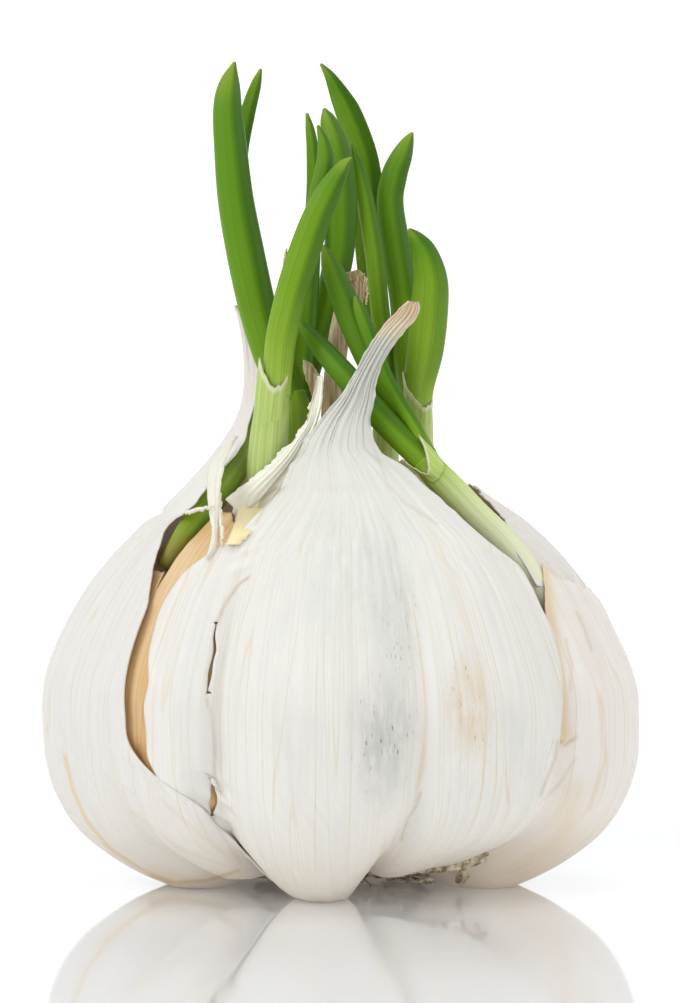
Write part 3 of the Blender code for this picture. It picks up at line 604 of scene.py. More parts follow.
# Each traced line of the front skin: its width in pixels, how brown it is, and its columns and rows.
# The fifth, along the edge of an upper layer of skin, is painted shade at that layer's step.
FRONT_LINES_AND_SHADE = [
    (1.5, 0.55, [(249, 577), (240, 583), (229, 598), (221, 612), (216, 628)]),
    (1.6, 0.3, [(207, 690), (206, 700), (212, 716), (215, 740), (214, 778)]),
    (1.2, 0.4, [(421, 793), (417, 805), (409, 818), (404, 832), (401, 842)]),
    (1.6, 0.5, [(211, 818), (216, 832), (226, 846), (238, 862)]),
    (1.8, 0.28, [(372, 440), (377, 456), (387, 483), (392, 489), (405, 503), (415, 509), (437, 524)]),
    (1.5, 0.4, [(285, 487), (272, 499), (262, 512), (256, 524)]),
    (1.5, 0.35, [(558, 742), (556, 758), (545, 785), (541, 796)]),
]


def foot_rim(angle):
    """How far up the outline a skin starts, at angles round the foot."""
    return 0.03 + 0.006 * np.sin(np.radians(angle) * 9)


def carried_up(rows, body, tall):
    """A skin's rows and those of its free top, drawn smooth, with how far up each one is."""
    control = np.concatenate(rows)
    control = np.concatenate([control[:body:5], control[body - 1:]])
    grid = smooth_rows(control[..., [0, 2, 1, 3]], tall)[..., [0, 2, 1, 3]]
    run = np.linalg.norm(np.diff(grid[..., :3], axis=0), axis=-1).mean(axis=1)
    return grid, np.concatenate([[0], np.cumsum(run)])


def front_skin():
    columns, body, tall = 200, 110, 220
    left, right = torn_edge(FRONT_LEFT_EDGE, -24.0), torn_edge(FRONT_RIGHT_EDGE, 51.4)
    v = np.linspace(0, 1, columns)
    near_left, near_right = np.clip(1 - v * 14, 0, 1), np.clip(1 - (1 - v) * 14, 0, 1)
    low = foot_rim(-24 + 75 * v) + ragged(columns, 0.004, 14)
    high = float(t_at(38.4))
    level = np.linspace(0, 1, body)[:, None]
    t = low + (high - low) * level
    a, b = np.interp(t, *left), np.interp(t, *right)
    angle = a + (b - a) * v
    angle += (ragged(body, 0.5, 3)[:, None] * near_left * (t > 0.2)
              + ragged(body, 0.35, 5)[:, None] * near_right * (t > 0.3))
    side = np.minimum(v, 1 - v) * 42.0
    curl = 0.28 * np.exp(-(side / 0.9) ** 2) * np.interp(t, [0.2, 0.4], [0, 1])
    wave = 0.05 * np.sin(angle * 0.9 + 3 * t) + 0.035 * np.sin(angle * 2.3 - 5 * t + 1)
    layer = 0.22 * np.exp(-((angle - np.interp(t, [0.68, 0.86], [18.0, 11.0])) / 2.2) ** 2)
    layer *= np.interp(t, [0.62, 0.72], [0, 1])
    grid = on_head(angle, t, (curl + wave) * np.interp(t, [0.1, 0.3], [0, 1]) + layer)
    across = angle * 0.56
    rows = [np.concatenate([grid, across[..., None]], -1)]
    for row, first, last, depth, bow in FLAME:
        column = first + (last - first) * v
        half = (last - first) * PX / 2
        made = place(column, row, depth + bow * (half * (2 * v - 1)) ** 2)
        rows.append(np.concatenate([made, across[-1][:, None]], -1)[None])
    grid, up = carried_up(rows, body, tall)
    up *= 100.0 / up[-1]
    pleat = np.interp(up, [50, 68, 84, 100], [0.0, 0.022, 0.05, 0.06])[:, None]
    fold = np.convolve(np.random.default_rng(12).normal(size=columns + 8), np.hanning(9), "valid")
    grid[..., 1] += pleat * (0.8 * fold[None] + 0.8 * np.sin(v * 24 + 2 + up[:, None] * 0.05))
    torn = np.interp(up, [64, 74], [0, 1])
    grid[..., 0] += np.outer(ragged(tall, 0.24, 8) * torn, near_left)
    grid[..., 0] += np.outer(ragged(tall, 0.22, 9) * torn, near_right)
    grid, gone = tear(grid, FRONT_SLITS)
    up = np.broadcast_to(up[:, None], grid.shape[:2])
    marks = (drawn(grid[..., :3], FRONT_LINES_AND_SHADE), 0 * up)
    return thin_skin("front_skin", grid[..., :3], grid[..., 3], up, gone=gone, marks=marks)


front = front_skin()
front.data.materials.append(front_finish())
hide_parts("skin_front")


# Left skin: a white sheet round the left clove, torn open down its front edge. It runs up behind the
# shoots as a narrow strip, thin enough to look pinkish.
LEFT_EDGE = [
    (168, 528), (159, 556), (152, 590), (148, 602), (142, 625), (137, 640), (130, 660), (127, 700),
    (127, 730), (132, 746), (143, 764), (158, 777), (182, 786), (203, 808), (217, 826), (240, 863),
]


def left_skin():
    columns, body = 150, 100
    right = torn_edge(LEFT_EDGE, -24.8)
    v = np.linspace(0, 1, columns)
    near = np.clip(1 - (1 - v) * 14, 0, 1)
    low = foot_rim(-103.6 + 78 * v) + ragged(columns, 0.004, 26)
    high = float(t_at(39.4))
    t = low + (high - low) * np.linspace(0, 1, body)[:, None]
    angle = -103.8 + (np.interp(t, *right) + 103.8) * v
    angle += ragged(body, 0.5, 21)[:, None] * near * (t > 0.2)
    side = (1 - v) * 44.0
    curl = 0.30 * np.exp(-(side / 1.0) ** 2) * np.interp(t, [0.1, 0.3], [0.2, 1])
    over = 0.45 * np.exp(-(side / 5.0) ** 2) * np.interp(t, [0.05, 0.14, 0.30, 0.38], [0, 1, 1, 0])
    wave = 0.06 * np.sin(angle * 0.8 + 4 * t) + 0.04 * np.sin(angle * 2.1 - 6 * t)
    grid = on_head(angle, t, curl + over + wave * np.interp(t, [0.1, 0.3], [0, 1]))
    across = angle * 0.56
    rows = [np.concatenate([grid, across[..., None]], -1)]
    strip = [
        (508, 163, -0.6, 190, -13.6), (484, 186, -0.4, 208, -11.4), (462, 206, -0.2, 228, -9.6),
        (440, 223, 0.2, 243, -7.6), (418, 236, 0.8, 250, -4.6), (394, 243, 1.6, 256, -1.6),
        (366, 244, 2.2, 257, 0.4), (340, 242, 2.5, 254, 1.4), (318, 238, 2.6, 249, 2.0),
        (306, 235, 2.6, 238, 2.2),
    ]
    for row, column_a, depth_a, column_b, depth_b in strip:
        a, b = place(column_a, row, depth_a), place(column_b, row, depth_b)
        rows.append(np.concatenate([a + (b - a) * v[:, None], across[-1][:, None]], -1)[None])
    grid, up = carried_up(rows, body, 190)
    top = np.interp(up, [44, 60], [0, 1])[:, None]
    grid[..., 1] += 0.10 * top * np.sin(v * 15 + 1)
    grid[..., 0] += ragged(190, 0.16, 24)[:, None] * top * near
    up = np.broadcast_to(up[:, None], grid.shape[:2])
    marks = (drawn(grid[..., :3], [
        (1.8, 0.5, [(150, 877), (172, 884), (206, 882), (238, 872)]),
        (1.3, 0.25, [(132, 748), (146, 766), (182, 787), (204, 810), (222, 836), (240, 864)]),
    ]), drawn(grid[..., :3], [
        (2.0, 0.8, [(64, 756), (72, 790), (86, 822), (110, 850), (140, 870), (172, 882)]),
        (2.0, 0.3, [(160, 800), (200, 836), (232, 862)]), (2.0, 0.25, [(130, 812), (180, 850), (226, 868)]),
        (8.0, 0.35, [(150, 874), (190, 884), (236, 876)])]))
    return thin_skin("left_skin", grid[..., :3], grid[..., 3], up, marks=marks)


def left_finish():
    mat, tree, shader, fibres, colour = paper_finish(
        "left_paper", (0.755, 0.735, 0.70), (0.70, 0.54, 0.33), (0.73, 0.70, 0.66), 0.6,
        low=(0.80, 0.74, 0.66), marked=True)
    up = node(tree, "SeparateXYZ", {0: fibres}).outputs[1]
    colour = mix(tree, fade(tree, up, 6.4, 8.4, 0.0, 0.55), colour, (0.80, 0.72, 0.64))
    tree.links.new(colour, shader.inputs["Base Color"])
    return mat


left = left_skin()
left.data.materials.append(left_finish())
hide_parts("skin_left")


# Right skins: the white sheet round the right clove, free at its front edge where the shoot comes out,
# and the thinner skin above it that closes the shoulder.
RIGHT_EDGE = [
    (539, 561), (543, 575), (546, 590), (547, 602), (548, 616), (549, 630), (551, 645), (554, 662),
    (556, 690), (556, 720), (553, 742), (547, 765), (538, 794),
]


def shoulder_line(angle):
    return t_at(np.interp(angle, [52, 60, 75, 90, 101], [35.5, 35.0, 33.0, 30.0, 27.0]))


def wrapped_skin(name, first, last, low, high, columns, rows, seed,
                 rise=0.0, lines=(), cream=(), sink=0.0):
    """A skin from an angle or a traced edge to a last angle of the head, up to its own torn top."""
    v = np.linspace(0, 1, columns)
    level = np.linspace(0, 1, rows)[:, None]
    traced = not isinstance(first, float)
    a = float(np.interp(1, *first)) if traced else first
    base, top = low(a + (last - a) * v), high(a + (last - a) * v) + ragged(columns, 0.004, seed)
    t = base + ragged(columns, 0.004, seed + 3) + (top - base) * level
    a = np.interp(t, *first) if traced else first
    angle = a + (last - a) * v
    angle = angle + ragged(rows, 0.4, seed + 1)[:, None] * np.clip(1 - v * 14, 0, 1) * traced
    wave = 0.06 * np.sin(angle * 0.8 + 4 * t + seed) + 0.04 * np.sin(angle * 2.1 - 6 * t)
    lip = rise * np.exp(-((1 - level) * 40 / 1.5) ** 2) - sink * np.exp(-(level / 0.3) ** 2)
    grid = on_head(angle, t, wave * np.interp(t, [0.1, 0.3], [0, 1]) + lip)
    angle, t = np.broadcast_arrays(angle, t)
    marks = (drawn(grid, lines), drawn(grid, cream))
    return thin_skin(name, grid, angle * 0.56, t * 88.0 - 2.6, marks=marks)


RIGHT_LINES = [
    (1.6, 0.5, [(559, 742), (566, 745), (577, 738)]), (1.5, 0.25, [(566, 640), (572, 664), (571, 690)]),
    (1.6, 0.3, [(577, 612), (585, 630), (592, 650)]), (1.6, 0.22, [(575, 760), (562, 782), (545, 800)]),
]
# Cream bands on the right skin, each a width in pixels, a share and its corners. The wide first band along
# the free edge is the inner skin's cream together with painted shade of the gap beside the front skin's edge.
RIGHT_CREAM_AND_SHADE = [
    (8.5, 0.85, [(541, 566), (547, 600), (552, 640), (560, 690), (564, 735)]),
    (2.0, 0.4, [(600, 700), (606, 760), (590, 810)]), (14.0, 0.3, [(575, 790), (560, 840), (520, 872)]),
]
right_skin = wrapped_skin("right_skin", torn_edge(RIGHT_EDGE, 52.2), 99.9, foot_rim, shoulder_line,
                          130, 130, 31, 0.2, RIGHT_LINES, RIGHT_CREAM_AND_SHADE)
right_skin.data.materials.append(paper_finish(
    "right_paper", (0.815, 0.775, 0.725), (0.74, 0.52, 0.28), (0.79, 0.72, 0.65), 0.6,
    low=(0.82, 0.71, 0.59), marked=True)[0])
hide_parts("skin_right")

shoulder = wrapped_skin(
    "shoulder_skin", 57.0, 99.8, lambda a: shoulder_line(a) - 0.035,
    lambda a: t_at(np.interp(a, [57, 64, 72, 82, 100], [38.6, 39.6, 41.4, 43.0, 43.0])), 80, 50, 35, sink=0.3)
shoulder.data.materials.append(paper_finish(
    "shoulder_paper", (0.74, 0.70, 0.66), (0.66, 0.52, 0.40), (0.70, 0.65, 0.61), 0.4)[0])
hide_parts("skin_shoulder")


# Back skins: three white sheets close the back of the bulb, each torn off short at the top, where the
# shoots have pushed through.
back_paper = paper_finish("back_paper", (0.81, 0.785, 0.74), (0.73, 0.58, 0.37), (0.77, 0.74, 0.70), 0.6,
                          low=(0.79, 0.71, 0.61))[0]
for name, first, last, high, columns, seed in (
        ("skin_right_back", 100.2, 141.8, 44.5, 80, 41), ("skin_back", 142.2, 217.8, 46.0, 140, 44),
        ("skin_left_back", 218.2, 255.9, 44.0, 80, 47)):
    back = wrapped_skin(
        name.replace("skin_", "") + "_paper", first, last, foot_rim,
        lambda a, high=high: t_at(high + np.sin(a / 5) - np.interp(a, [100, 125], [3.5, 0])),
        columns, 120, seed)
    back.data.materials.append(back_paper)
    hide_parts(name)


# Flap: a loose inner layer left of the flame that folds round the front shoot and ends in a frayed
# brownish tip. It is thinner and yellower than the outer skins.
# Its rows from the foot up: row, first and last column, and depth.
FLAP = [
    (520, 240, 262, -10.9), (508, 231, 275, -11.0), (497, 229, 284, -11.0), (485, 243, 290, -10.9),
    (470, 262, 298, -10.8), (455, 279, 305, -10.8), (440, 292, 310, -10.7), (423, 305, 317, -10.5),
    (405, 309, 322, -10.2), (390, 313, 323, -9.9), (376, 317, 323, -9.8),
]


def flap_skin():
    v = np.linspace(0, 1, 60)
    rows = []
    for row, first, last, depth in FLAP:
        bow = min(0.35, 0.009 * (last - first))
        rows.append(place(first + (last - first) * v, row, depth + bow * (2 * v - 1) ** 2))
    grid = smooth_rows(np.array(rows)[..., [0, 2, 1]], 110)[..., [0, 2, 1]]
    up = np.linspace(0, 17, 110)[:, None] + 0 * v
    fold = np.convolve(np.random.default_rng(52).normal(size=72), np.hanning(13), "valid")
    grid[..., 1] += 0.02 * fold[None, :60] + 0.04 * np.sin(v * 9 + up * 0.2)
    grid[..., 0] += np.outer(ragged(110, 0.3, 51), np.clip(1 - v * 10, 0, 1))
    marks = drawn(grid, [(1.6, 0.5, [(238, 517), (256, 503), (276, 488)]),
                         (1.6, 0.6, [(317, 372), (315, 392), (307, 420)])])
    return thin_skin("flap_skin", grid, (v * 6 + 10) + 0 * up, up + 60, 0.14, marks=(marks, 0 * up))


flap = flap_skin()
flap.data.materials.append(paper_finish(
    "flap_paper", (0.96, 0.95, 0.82), (0.70, 0.63, 0.38), (0.84, 0.83, 0.66), 0.6, marked=True)[0])
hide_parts("skin_flap")


# Linings and ribbons: where the outer skin has torn on the left, the cloves' tan inner skin shows in
# the gap, fluted at its free top, and a few narrow strips of torn skin hang down from the neck.
def lining_finish():
    mat, tree, shader = finish("tan_lining", 0.42, 0.5, 0.1)
    fibres, streaks, veins, clouds = fibres_in(tree)
    colour = mix(tree, fade(tree, streaks, 0.3, 0.7), (0.72, 0.44, 0.18), (0.80, 0.57, 0.31))
    up = node(tree, "SeparateXYZ", {0: fibres}).outputs[1]
    colour = mix(tree, fade(tree, up, 4.6, 1.6, 0.0, 0.85), colour, (0.90, 0.44, 0.10))
    colour = mix(tree, fade(tree, clouds, 0.45, 0.7, 0.0, 0.5), colour, (0.90, 0.72, 0.48))
    colour = mix(tree, maths(tree, "MULTIPLY", veins, 0.4), colour, (0.55, 0.28, 0.08))
    dress(tree, shader, colour, streaks, 0.4, 0.00015)
    return mat


tan_lining = lining_finish()


LINING_TOP = [
    (150, 590), (160, 566), (170, 558), (180, 552), (187, 538), (202, 521), (214, 510), (228, 506),
    (240, 530), (252, 545),
]


def left_lining():
    v = np.linspace(0, 1, 90)
    angle = -72.0 + 55.0 * v
    found = sorted(behind(*p) for p in LINING_TOP)
    top = np.interp(angle, [f[0] for f in found], [f[1] for f in found]) + ragged(90, 0.002, 3)
    t = 0.12 + (top - 0.12) * np.linspace(0, 1, 90)[:, None]
    flute = 0.3 * np.sin(v * 26 + 3) * np.clip((t - 0.5) * 5, 0, 1)
    grid = on_head(angle + 0 * t, t, flute - 0.75)
    piece = thin_skin("left_lining", grid, angle * 0.56 + 0 * t, t * 88.0, 0.14)
    piece.data.materials.append(tan_lining)


left_lining()

cream_strip = paper_finish(
    "cream_strip", (0.80, 0.78, 0.68), (0.60, 0.50, 0.30), (0.70, 0.68, 0.55), 0.7)[0]
yellow_flesh = paper_finish(
    "yellow_flesh", (0.88, 0.76, 0.42), (0.74, 0.54, 0.22), (0.90, 0.82, 0.58), 0.3)[0]


def ribbon(name, rows, seed, paper=cream_strip, turned=False):
    """A narrow torn strip, by row, first and last column, depth and twist.

    When it is turned, its columns and rows change places.
    """
    v = np.linspace(0, 1, 14)
    line = []
    for row, first, last, depth, turn in rows:
        column = first + (last - first) * v
        seen = (row, column) if turned else (column, row)
        line.append(place(*seen, depth + turn * (v - 0.5) + 0.3 * (2 * v - 1) ** 2))
    grid = smooth_rows(np.array(line)[..., [0, 2, 1]], 70)[..., [0, 2, 1]]
    shake = ragged(70, 0.12, seed)[:, None]
    grid[..., 2 if turned else 0] += shake * (0.4 + 0.6 * v)
    up = np.linspace(0, 12, 70)[:, None] + 0 * v
    strip = thin_skin(name, grid, v * 2 + 40 + 0 * up, up + 60, 0.12)
    strip.data.materials.append(paper)


ribbon("long_ribbon", [
    (559, 205, 207, -19.2, 0), (546, 209, 216, -19.1, 0.4), (530, 212, 219, -18.4, 0.8),
    (512, 209, 220, -16.8, 0.6), (492, 207, 220, -14.9, -0.6), (467, 208, 224, -12.4, -0.8),
    (455, 215, 227, -10.8, -0.6), (444, 225, 234, -9.0, 0.0), (436, 232, 238, -8.0, 0.0)], 61)
ribbon("short_ribbon", [
    (546, 220, 221, -19.0, 0), (536, 220, 224, -18.6, 0.2), (524, 219, 223, -17.6, 0.2),
    (510, 218, 222, -16.2, 0.2), (500, 217, 221, -15.0, 0), (488, 217, 220, -13.8, 0)], 63)
ribbon("cross_thread", [
    (185, 511, 515, -15.8, 0), (192, 509, 514, -16.2, 0), (200, 507, 512, -16.6, 0),
    (208, 506, 510, -17.0, 0), (214, 506, 508, -17.2, 0)], 65, turned=True)
ribbon("clove_tip_bit", [
    (544, 226, 240, -19.2, 0), (532, 231, 252, -18.0, 0), (521, 235, 262, -14.6, 0),
    (509, 238, 268, -11.2, 0), (496, 242, 272, -9.6, 0)], 67, yellow_flesh)


# Shoots: the bulb has sprouted. Pale sheaths come up through the torn neck and open into folded green
# leaves with fine lengthwise lines, darkest in the middle and yellower towards their blunt tips.
def leaf_finish():
    mat, tree, shader = finish("leaf_green", 0.42, 0.2, 0.04)
    where = node(tree, "TexCoord").outputs["Object"]
    lines = node(tree, "UVMap", uv_map="fibres").outputs[0]
    split = node(tree, "SeparateXYZ", {0: lines})
    tone = split.outputs[1]
    stretched = node(tree, "CombineXYZ", {0: maths(tree, "MULTIPLY", split.outputs[0], 34.0),
                                          1: maths(tree, "MULTIPLY", tone, 1.2)}).outputs[0]
    stripes = noise(tree, stretched, 1.0, 2.0, 0.6)
    blotch = noise(tree, where, 120.0, 3.0)
    tone = maths(tree, "ADD", tone, maths(tree, "MULTIPLY", maths(tree, "SUBTRACT", blotch, 0.5), 0.10))
    ramp = node(tree, "ValToRGB", {0: tone})
    ramp.color_ramp.interpolation = "B_SPLINE"
    stops = [(0.0, (0.80, 0.81, 0.66)), (0.14, (0.70, 0.77, 0.42)), (0.3, (0.40, 0.55, 0.08)),
             (0.45, (0.20, 0.36, 0.01)), (0.6, (0.115, 0.275, 0.002)), (0.84, (0.085, 0.225, 0.003)),
             (1.0, (0.24, 0.37, 0.03))]
    while len(ramp.color_ramp.elements) < len(stops):
        ramp.color_ramp.elements.new(0.5)
    for element, (at, colour) in zip(ramp.color_ramp.elements, stops):
        element.position = at
        element.color = (*colour, 1)
    pale = mix(tree, fade(tree, tone, 0.5, 0.1, 0.0, 0.5), ramp.outputs[0], (0.86, 0.86, 0.72))
    colour = mix(tree, fade(tree, stripes, 0.5, 0.68, 0.0, 0.5), ramp.outputs[0], pale)
    light = mix(tree, 0.4, ramp.outputs[0], (0.24, 0.42, 0.02))
    colour = mix(tree, maths(tree, "MULTIPLY", fade(tree, stripes, 0.55, 0.7, 0.0, 0.5),
                             fade(tree, tone, 0.4, 0.5)), colour, light)
    dark = mix(tree, 0.4, ramp.outputs[0], (0.02, 0.09, 0.0))
    colour = mix(tree, fade(tree, stripes, 0.5, 0.3, 0.0, 0.6), colour, dark)
    # Painted shade: the right half of each folded leaf, beyond its keel, is darkened towards deep green, as
    # if turned from the light; the pale sheath parts are left out.
    painted_shade_half = maths(tree, "MULTIPLY", fade(tree, split.outputs[0], 0.5, 0.68, 0.0, 0.9),
                   fade(tree, tone, 0.36, 0.55))
    colour = mix(tree, painted_shade_half, colour, mix(tree, 0.75, colour, (0.018, 0.085, 0.001)))
    xyz = node(tree, "SeparateXYZ", {0: where}).outputs
    dried = maths(tree, "MULTIPLY", fade(tree, xyz[0], -0.0135, -0.0165),
                  fade(tree, xyz[2], 0.0405, 0.0365, 0.0, 0.8))
    colour = mix(tree, dried, colour, (0.29, 0.22, 0.045))
    dress(tree, shader, colour, stripes, 0.22, 0.00015)
    return mat


leaf_green = leaf_finish()


def blade(path, keel=1, steps=90, thick=0.5):
    """A leaf or stem: column, row, depth, width in pixels, hollow 0 to 1, and tone 0 pale to 1 tip."""
    sides = 15
    rows = []
    for column, row, depth, width, hollow, tone in path:
        p = place(column, row, depth)
        rows.append((p[0], p[2], p[1], width * PX * (FAR + depth) / FAR, hollow, tone))
    line = smooth_rows(rows, steps)
    centre = line[:, [0, 2, 1]]
    along = np.gradient(centre, axis=0)
    along /= np.linalg.norm(along, axis=1)[:, None]
    face = np.array([0.0, -1.0, 0.0]) - along * (-along[:, 1])[:, None]
    face = face / np.linalg.norm(face, axis=1)[:, None] * keel
    side = np.cross(along, face)
    w = np.maximum(line[:, 3], 0.35)
    hollow = np.clip(line[:, 4], 0, 1)
    deep = np.minimum(np.maximum(0.36 * w, 0.62 * thick), 0.5 * w)
    inner = np.where(2 * deep > thick, -deep + (2 * deep - thick) * hollow, -0.9 * deep)
    a = np.pi * (np.arange(sides) / (sides - 1) - 0.5)
    outer = (centre[:, None] + side[:, None] * (w[:, None] / 2 * np.sin(a))[..., None]
             + face[:, None] * (deep[:, None] * np.cos(a))[..., None])
    b = a[::-1] * 0.9
    edge_in = (1 - 0.14 * hollow)[:, None]
    drop = inner[:, None] * np.cos(b) - 0.2 * thick * hollow[:, None]
    hidden = (centre[:, None] + side[:, None] * (w[:, None] / 2 * edge_in * np.sin(b))[..., None]
              + face[:, None] * drop[..., None])
    ring = np.concatenate([outer, hidden, outer[:, :1]], axis=1)
    base = np.repeat(centre[:1, None], ring.shape[1], axis=1)
    tip = np.repeat((centre[-1:] + along[-1:] * w[-1] * 0.3)[:, None], ring.shape[1], axis=1)
    grid = np.concatenate([base, ring, tip])
    n, m = grid.shape[:2]
    tone = np.concatenate([line[:1, 5], line[:, 5], line[-1:, 5]])
    share = np.concatenate([np.arange(sides), sides - 1 - np.arange(sides), [0]]) / (sides - 1)
    # The share is flipped for a leaf whose keel faces away, so that it always runs from the leaf's left edge
    # to its right and the painted shade falls on the right half.
    share = share if keel > 0 else 1 - share
    leaf = bent_grid(grid, np.tile(share, n), np.repeat(tone, m))
    bpy.ops.object.mode_set(mode="EDIT")
    bpy.ops.mesh.select_all(action="SELECT")
    bpy.ops.mesh.remove_doubles(threshold=0.0000005)
    bpy.ops.mesh.normals_make_consistent(inside=False)
    bpy.ops.object.mode_set(mode="OBJECT")
    bpy.ops.object.shade_smooth()
    return leaf


def grow(name, cad_name, leaves):
    """A shoot: its stem and leaves joined as one piece."""
    parts = [blade(path, keel) for path, keel in leaves]
    shoot = parts[0]
    pick_only(shoot)
    for other in parts[1:]:
        other.select_set(True)
    bpy.ops.object.join()
    shoot.name = name
    shoot.data.materials.append(leaf_green)
    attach(shoot, "root")
    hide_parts(cad_name)


grow("front_shoot", "sprout_front", [
    ([(266, 520, -8.2, 38, 0, 0.2), (267, 470, -8.2, 41, 0, 0.24), (269, 440, -8.2, 39, 0, 0.26),
      (272, 410, -8.2, 35, 0, 0.3), (275, 388, -8.3, 30, 0, 0.34), (277, 372, -8.4, 28, 0.1, 0.38)], 1),
    ([(277, 396, -8.4, 27, 0.2, 0.33), (278, 372, -8.6, 29, 0.5, 0.38), (281, 340, -8.7, 31, 0.9, 0.43),
      (290, 300, -8.8, 32, 1, 0.48), (302, 260, -8.8, 32, 1, 0.52), (316, 220, -8.9, 29, 1, 0.56),
      (330, 190, -9.0, 24, 1, 0.62), (343, 168, -9.2, 14, 1, 0.95), (351, 159, -9.3, 3, 1, 1.0)], 1),
    ([(280, 372, -8.0, 18, 0, 0.4), (285, 335, -7.6, 16, 0.4, 0.5), (296, 290, -7.2, 16, 1, 0.6),
      (306, 245, -7.0, 17, 1, 0.7), (318, 195, -6.9, 18, 1, 0.75), (325, 165, -6.9, 18, 1, 0.8),
      (324, 145, -6.9, 13, 1, 0.85), (318, 127, -6.9, 3, 1, 0.9)], 1)])

grow("left_shoot", "sprout_left", [
    ([(163, 568, -11.9, 14, 0, 0.46), (172, 556, -11.8, 19, 0, 0.46), (187, 534, -11.0, 25, 0, 0.45),
      (208, 505, -9.2, 28, 0, 0.42), (231, 475, -6.8, 27, 0, 0.34), (248, 449, -4.0, 25, 0, 0.28),
      (261, 422, -1.2, 22, 0, 0.3), (268, 390, 1.0, 20, 0, 0.4), (267, 355, 2.0, 19, 0.1, 0.5),
      (260, 320, 2.4, 18, 0.4, 0.6), (246, 250, 2.6, 18, 1, 0.7), (240, 200, 2.6, 16, 1, 0.75),
      (241, 155, 2.6, 15, 1, 0.8), (248, 115, 2.6, 15, 1, 0.85), (256, 87, 2.6, 11, 1, 0.9),
      (261, 71, 2.6, 3, 1, 1.0)], -1)])

grow("middle_shoot", "sprout_centre", [
    ([(303, 545, -4.6, 20, 0, 0.1), (300, 500, -4.2, 23, 0, 0.2), (299, 448, -3.9, 24, 0, 0.34),
      (298, 428, -3.7, 25, 0, 0.38), (297, 408, -3.5, 25, 0, 0.42), (295, 392, -3.3, 22, 0.1, 0.45)], 1),
    ([(299, 432, -3.6, 24, 0, 0.4), (294, 408, -3.2, 28, 0.3, 0.45), (286, 385, -2.9, 33, 0.8, 0.5),
      (275, 365, -2.6, 35, 1, 0.52), (265, 335, -2.4, 37, 1, 0.55), (255, 297, -2.2, 38, 1, 0.58),
      (245, 250, -2.0, 38, 1, 0.62), (236, 200, -1.8, 36, 1, 0.68), (231, 150, -1.5, 33, 1, 0.74),
      (228, 110, -1.4, 29, 1, 0.85), (230, 85, -1.3, 21, 1, 0.95), (235, 64, -1.1, 3, 1, 1.0)], 1),
    ([(299, 420, -3.2, 16, 0, 0.4), (301, 395, -2.6, 20, 0.3, 0.5), (304, 350, -1.6, 22, 0.9, 0.55),
      (308, 300, -0.9, 21, 1, 0.6), (312, 240, -0.5, 18, 1, 0.7), (314, 190, -0.4, 15, 1, 0.8),
      (312.5, 150, -0.4, 12, 1, 0.85), (310, 130, -0.4, 9, 1, 0.9), (307, 115, -0.4, 3, 1, 0.95)], -1),
    ([(300, 410, -2.8, 18, 0, 0.42), (307, 380, -1.4, 22, 0.3, 0.5), (316, 345, 0.4, 25, 0.8, 0.55),
      (328, 305, 1.2, 28, 1, 0.58), (338, 260, 1.2, 30, 1, 0.62), (341, 220, 1.0, 32, 1, 0.68),
      (340, 180, 0.8, 32, 1, 0.76), (335, 145, 0.7, 27, 1, 0.88), (328, 121, 0.7, 16, 1, 0.95),
      (324, 110, 0.7, 3, 1, 1.0)], 1)])

grow("back_shoot", "sprout_back", [
    ([(384, 550, 6.6, 20, 0, 0.05), (385, 505, 5.2, 24, 0, 0.12), (386, 440, 4.6, 27, 0, 0.25),
      (387, 415, 4.6, 28, 0, 0.3), (387, 395, 4.6, 26, 0, 0.4)], 1),
    ([(388, 420, 5.4, 20, 0, 0.4), (386, 380, 6.0, 21, 0.3, 0.5), (379, 330, 6.4, 22, 0.9, 0.52),
      (372, 290, 6.6, 24, 1, 0.52), (368, 240, 6.6, 27, 1, 0.52), (369, 195, 6.6, 28, 1, 0.54),
      (364, 157, 6.6, 27, 1, 0.55), (350, 118, 6.6, 26, 1, 0.58), (341, 99, 6.6, 21, 1, 0.62),
      (330, 78, 6.6, 11, 1, 0.9), (321, 66, 6.6, 3, 1, 1.0)], -1),
    ([(392, 425, 3.6, 18, 0, 0.4), (391, 390, 3.0, 18, 0.2, 0.48), (386, 350, 2.2, 18, 0.8, 0.5),
      (380, 310, 1.9, 19, 1, 0.5), (375, 260, 1.9, 19, 1, 0.5), (368, 215, 1.9, 18, 1, 0.52),
      (361, 180, 1.9, 15, 1, 0.56), (356, 160, 1.9, 9, 1, 0.8), (352, 145, 1.9, 3, 1, 0.95)], 1)])

grow("right_shoot", "sprout_right", [
    ([(430, 550, -5.4, 20, 0, 0.05), (424, 505, -3.6, 24, 0, 0.1), (420, 446, -2.4, 27, 0, 0.2),
      (419, 425, -2.2, 28, 0, 0.24), (418, 404, -2.0, 28, 0, 0.32), (418, 388, -1.8, 26, 0.1, 0.4)], 1),
    ([(418, 412, -2.2, 26, 0, 0.35), (419, 385, -2.2, 31, 0.4, 0.42), (425, 350, -2.2, 37, 0.9, 0.47),
      (429, 310, -2.1, 38, 1, 0.48), (430, 280, -2.0, 35, 1, 0.5), (424, 254, -2.0, 27, 1, 0.6),
      (416, 239, -2.0, 16, 1, 0.85), (409, 230, -2.0, 4, 1, 1.0)], 1),
    ([(416, 412, -1.2, 22, 0, 0.4), (411, 380, 0.6, 28, 0.3, 0.48), (407, 345, 2.2, 31, 0.9, 0.52),
      (405, 305, 3.6, 30, 1, 0.56), (397, 254, 4.2, 29, 1, 0.6), (390, 205, 4.2, 27, 1, 0.64),
      (394, 177, 4.2, 26, 1, 0.75), (402, 156, 4.2, 21, 1, 0.88), (408, 142, 4.2, 12, 1, 0.95),
      (412, 134, 4.2, 3, 1, 1.0)], 1)])

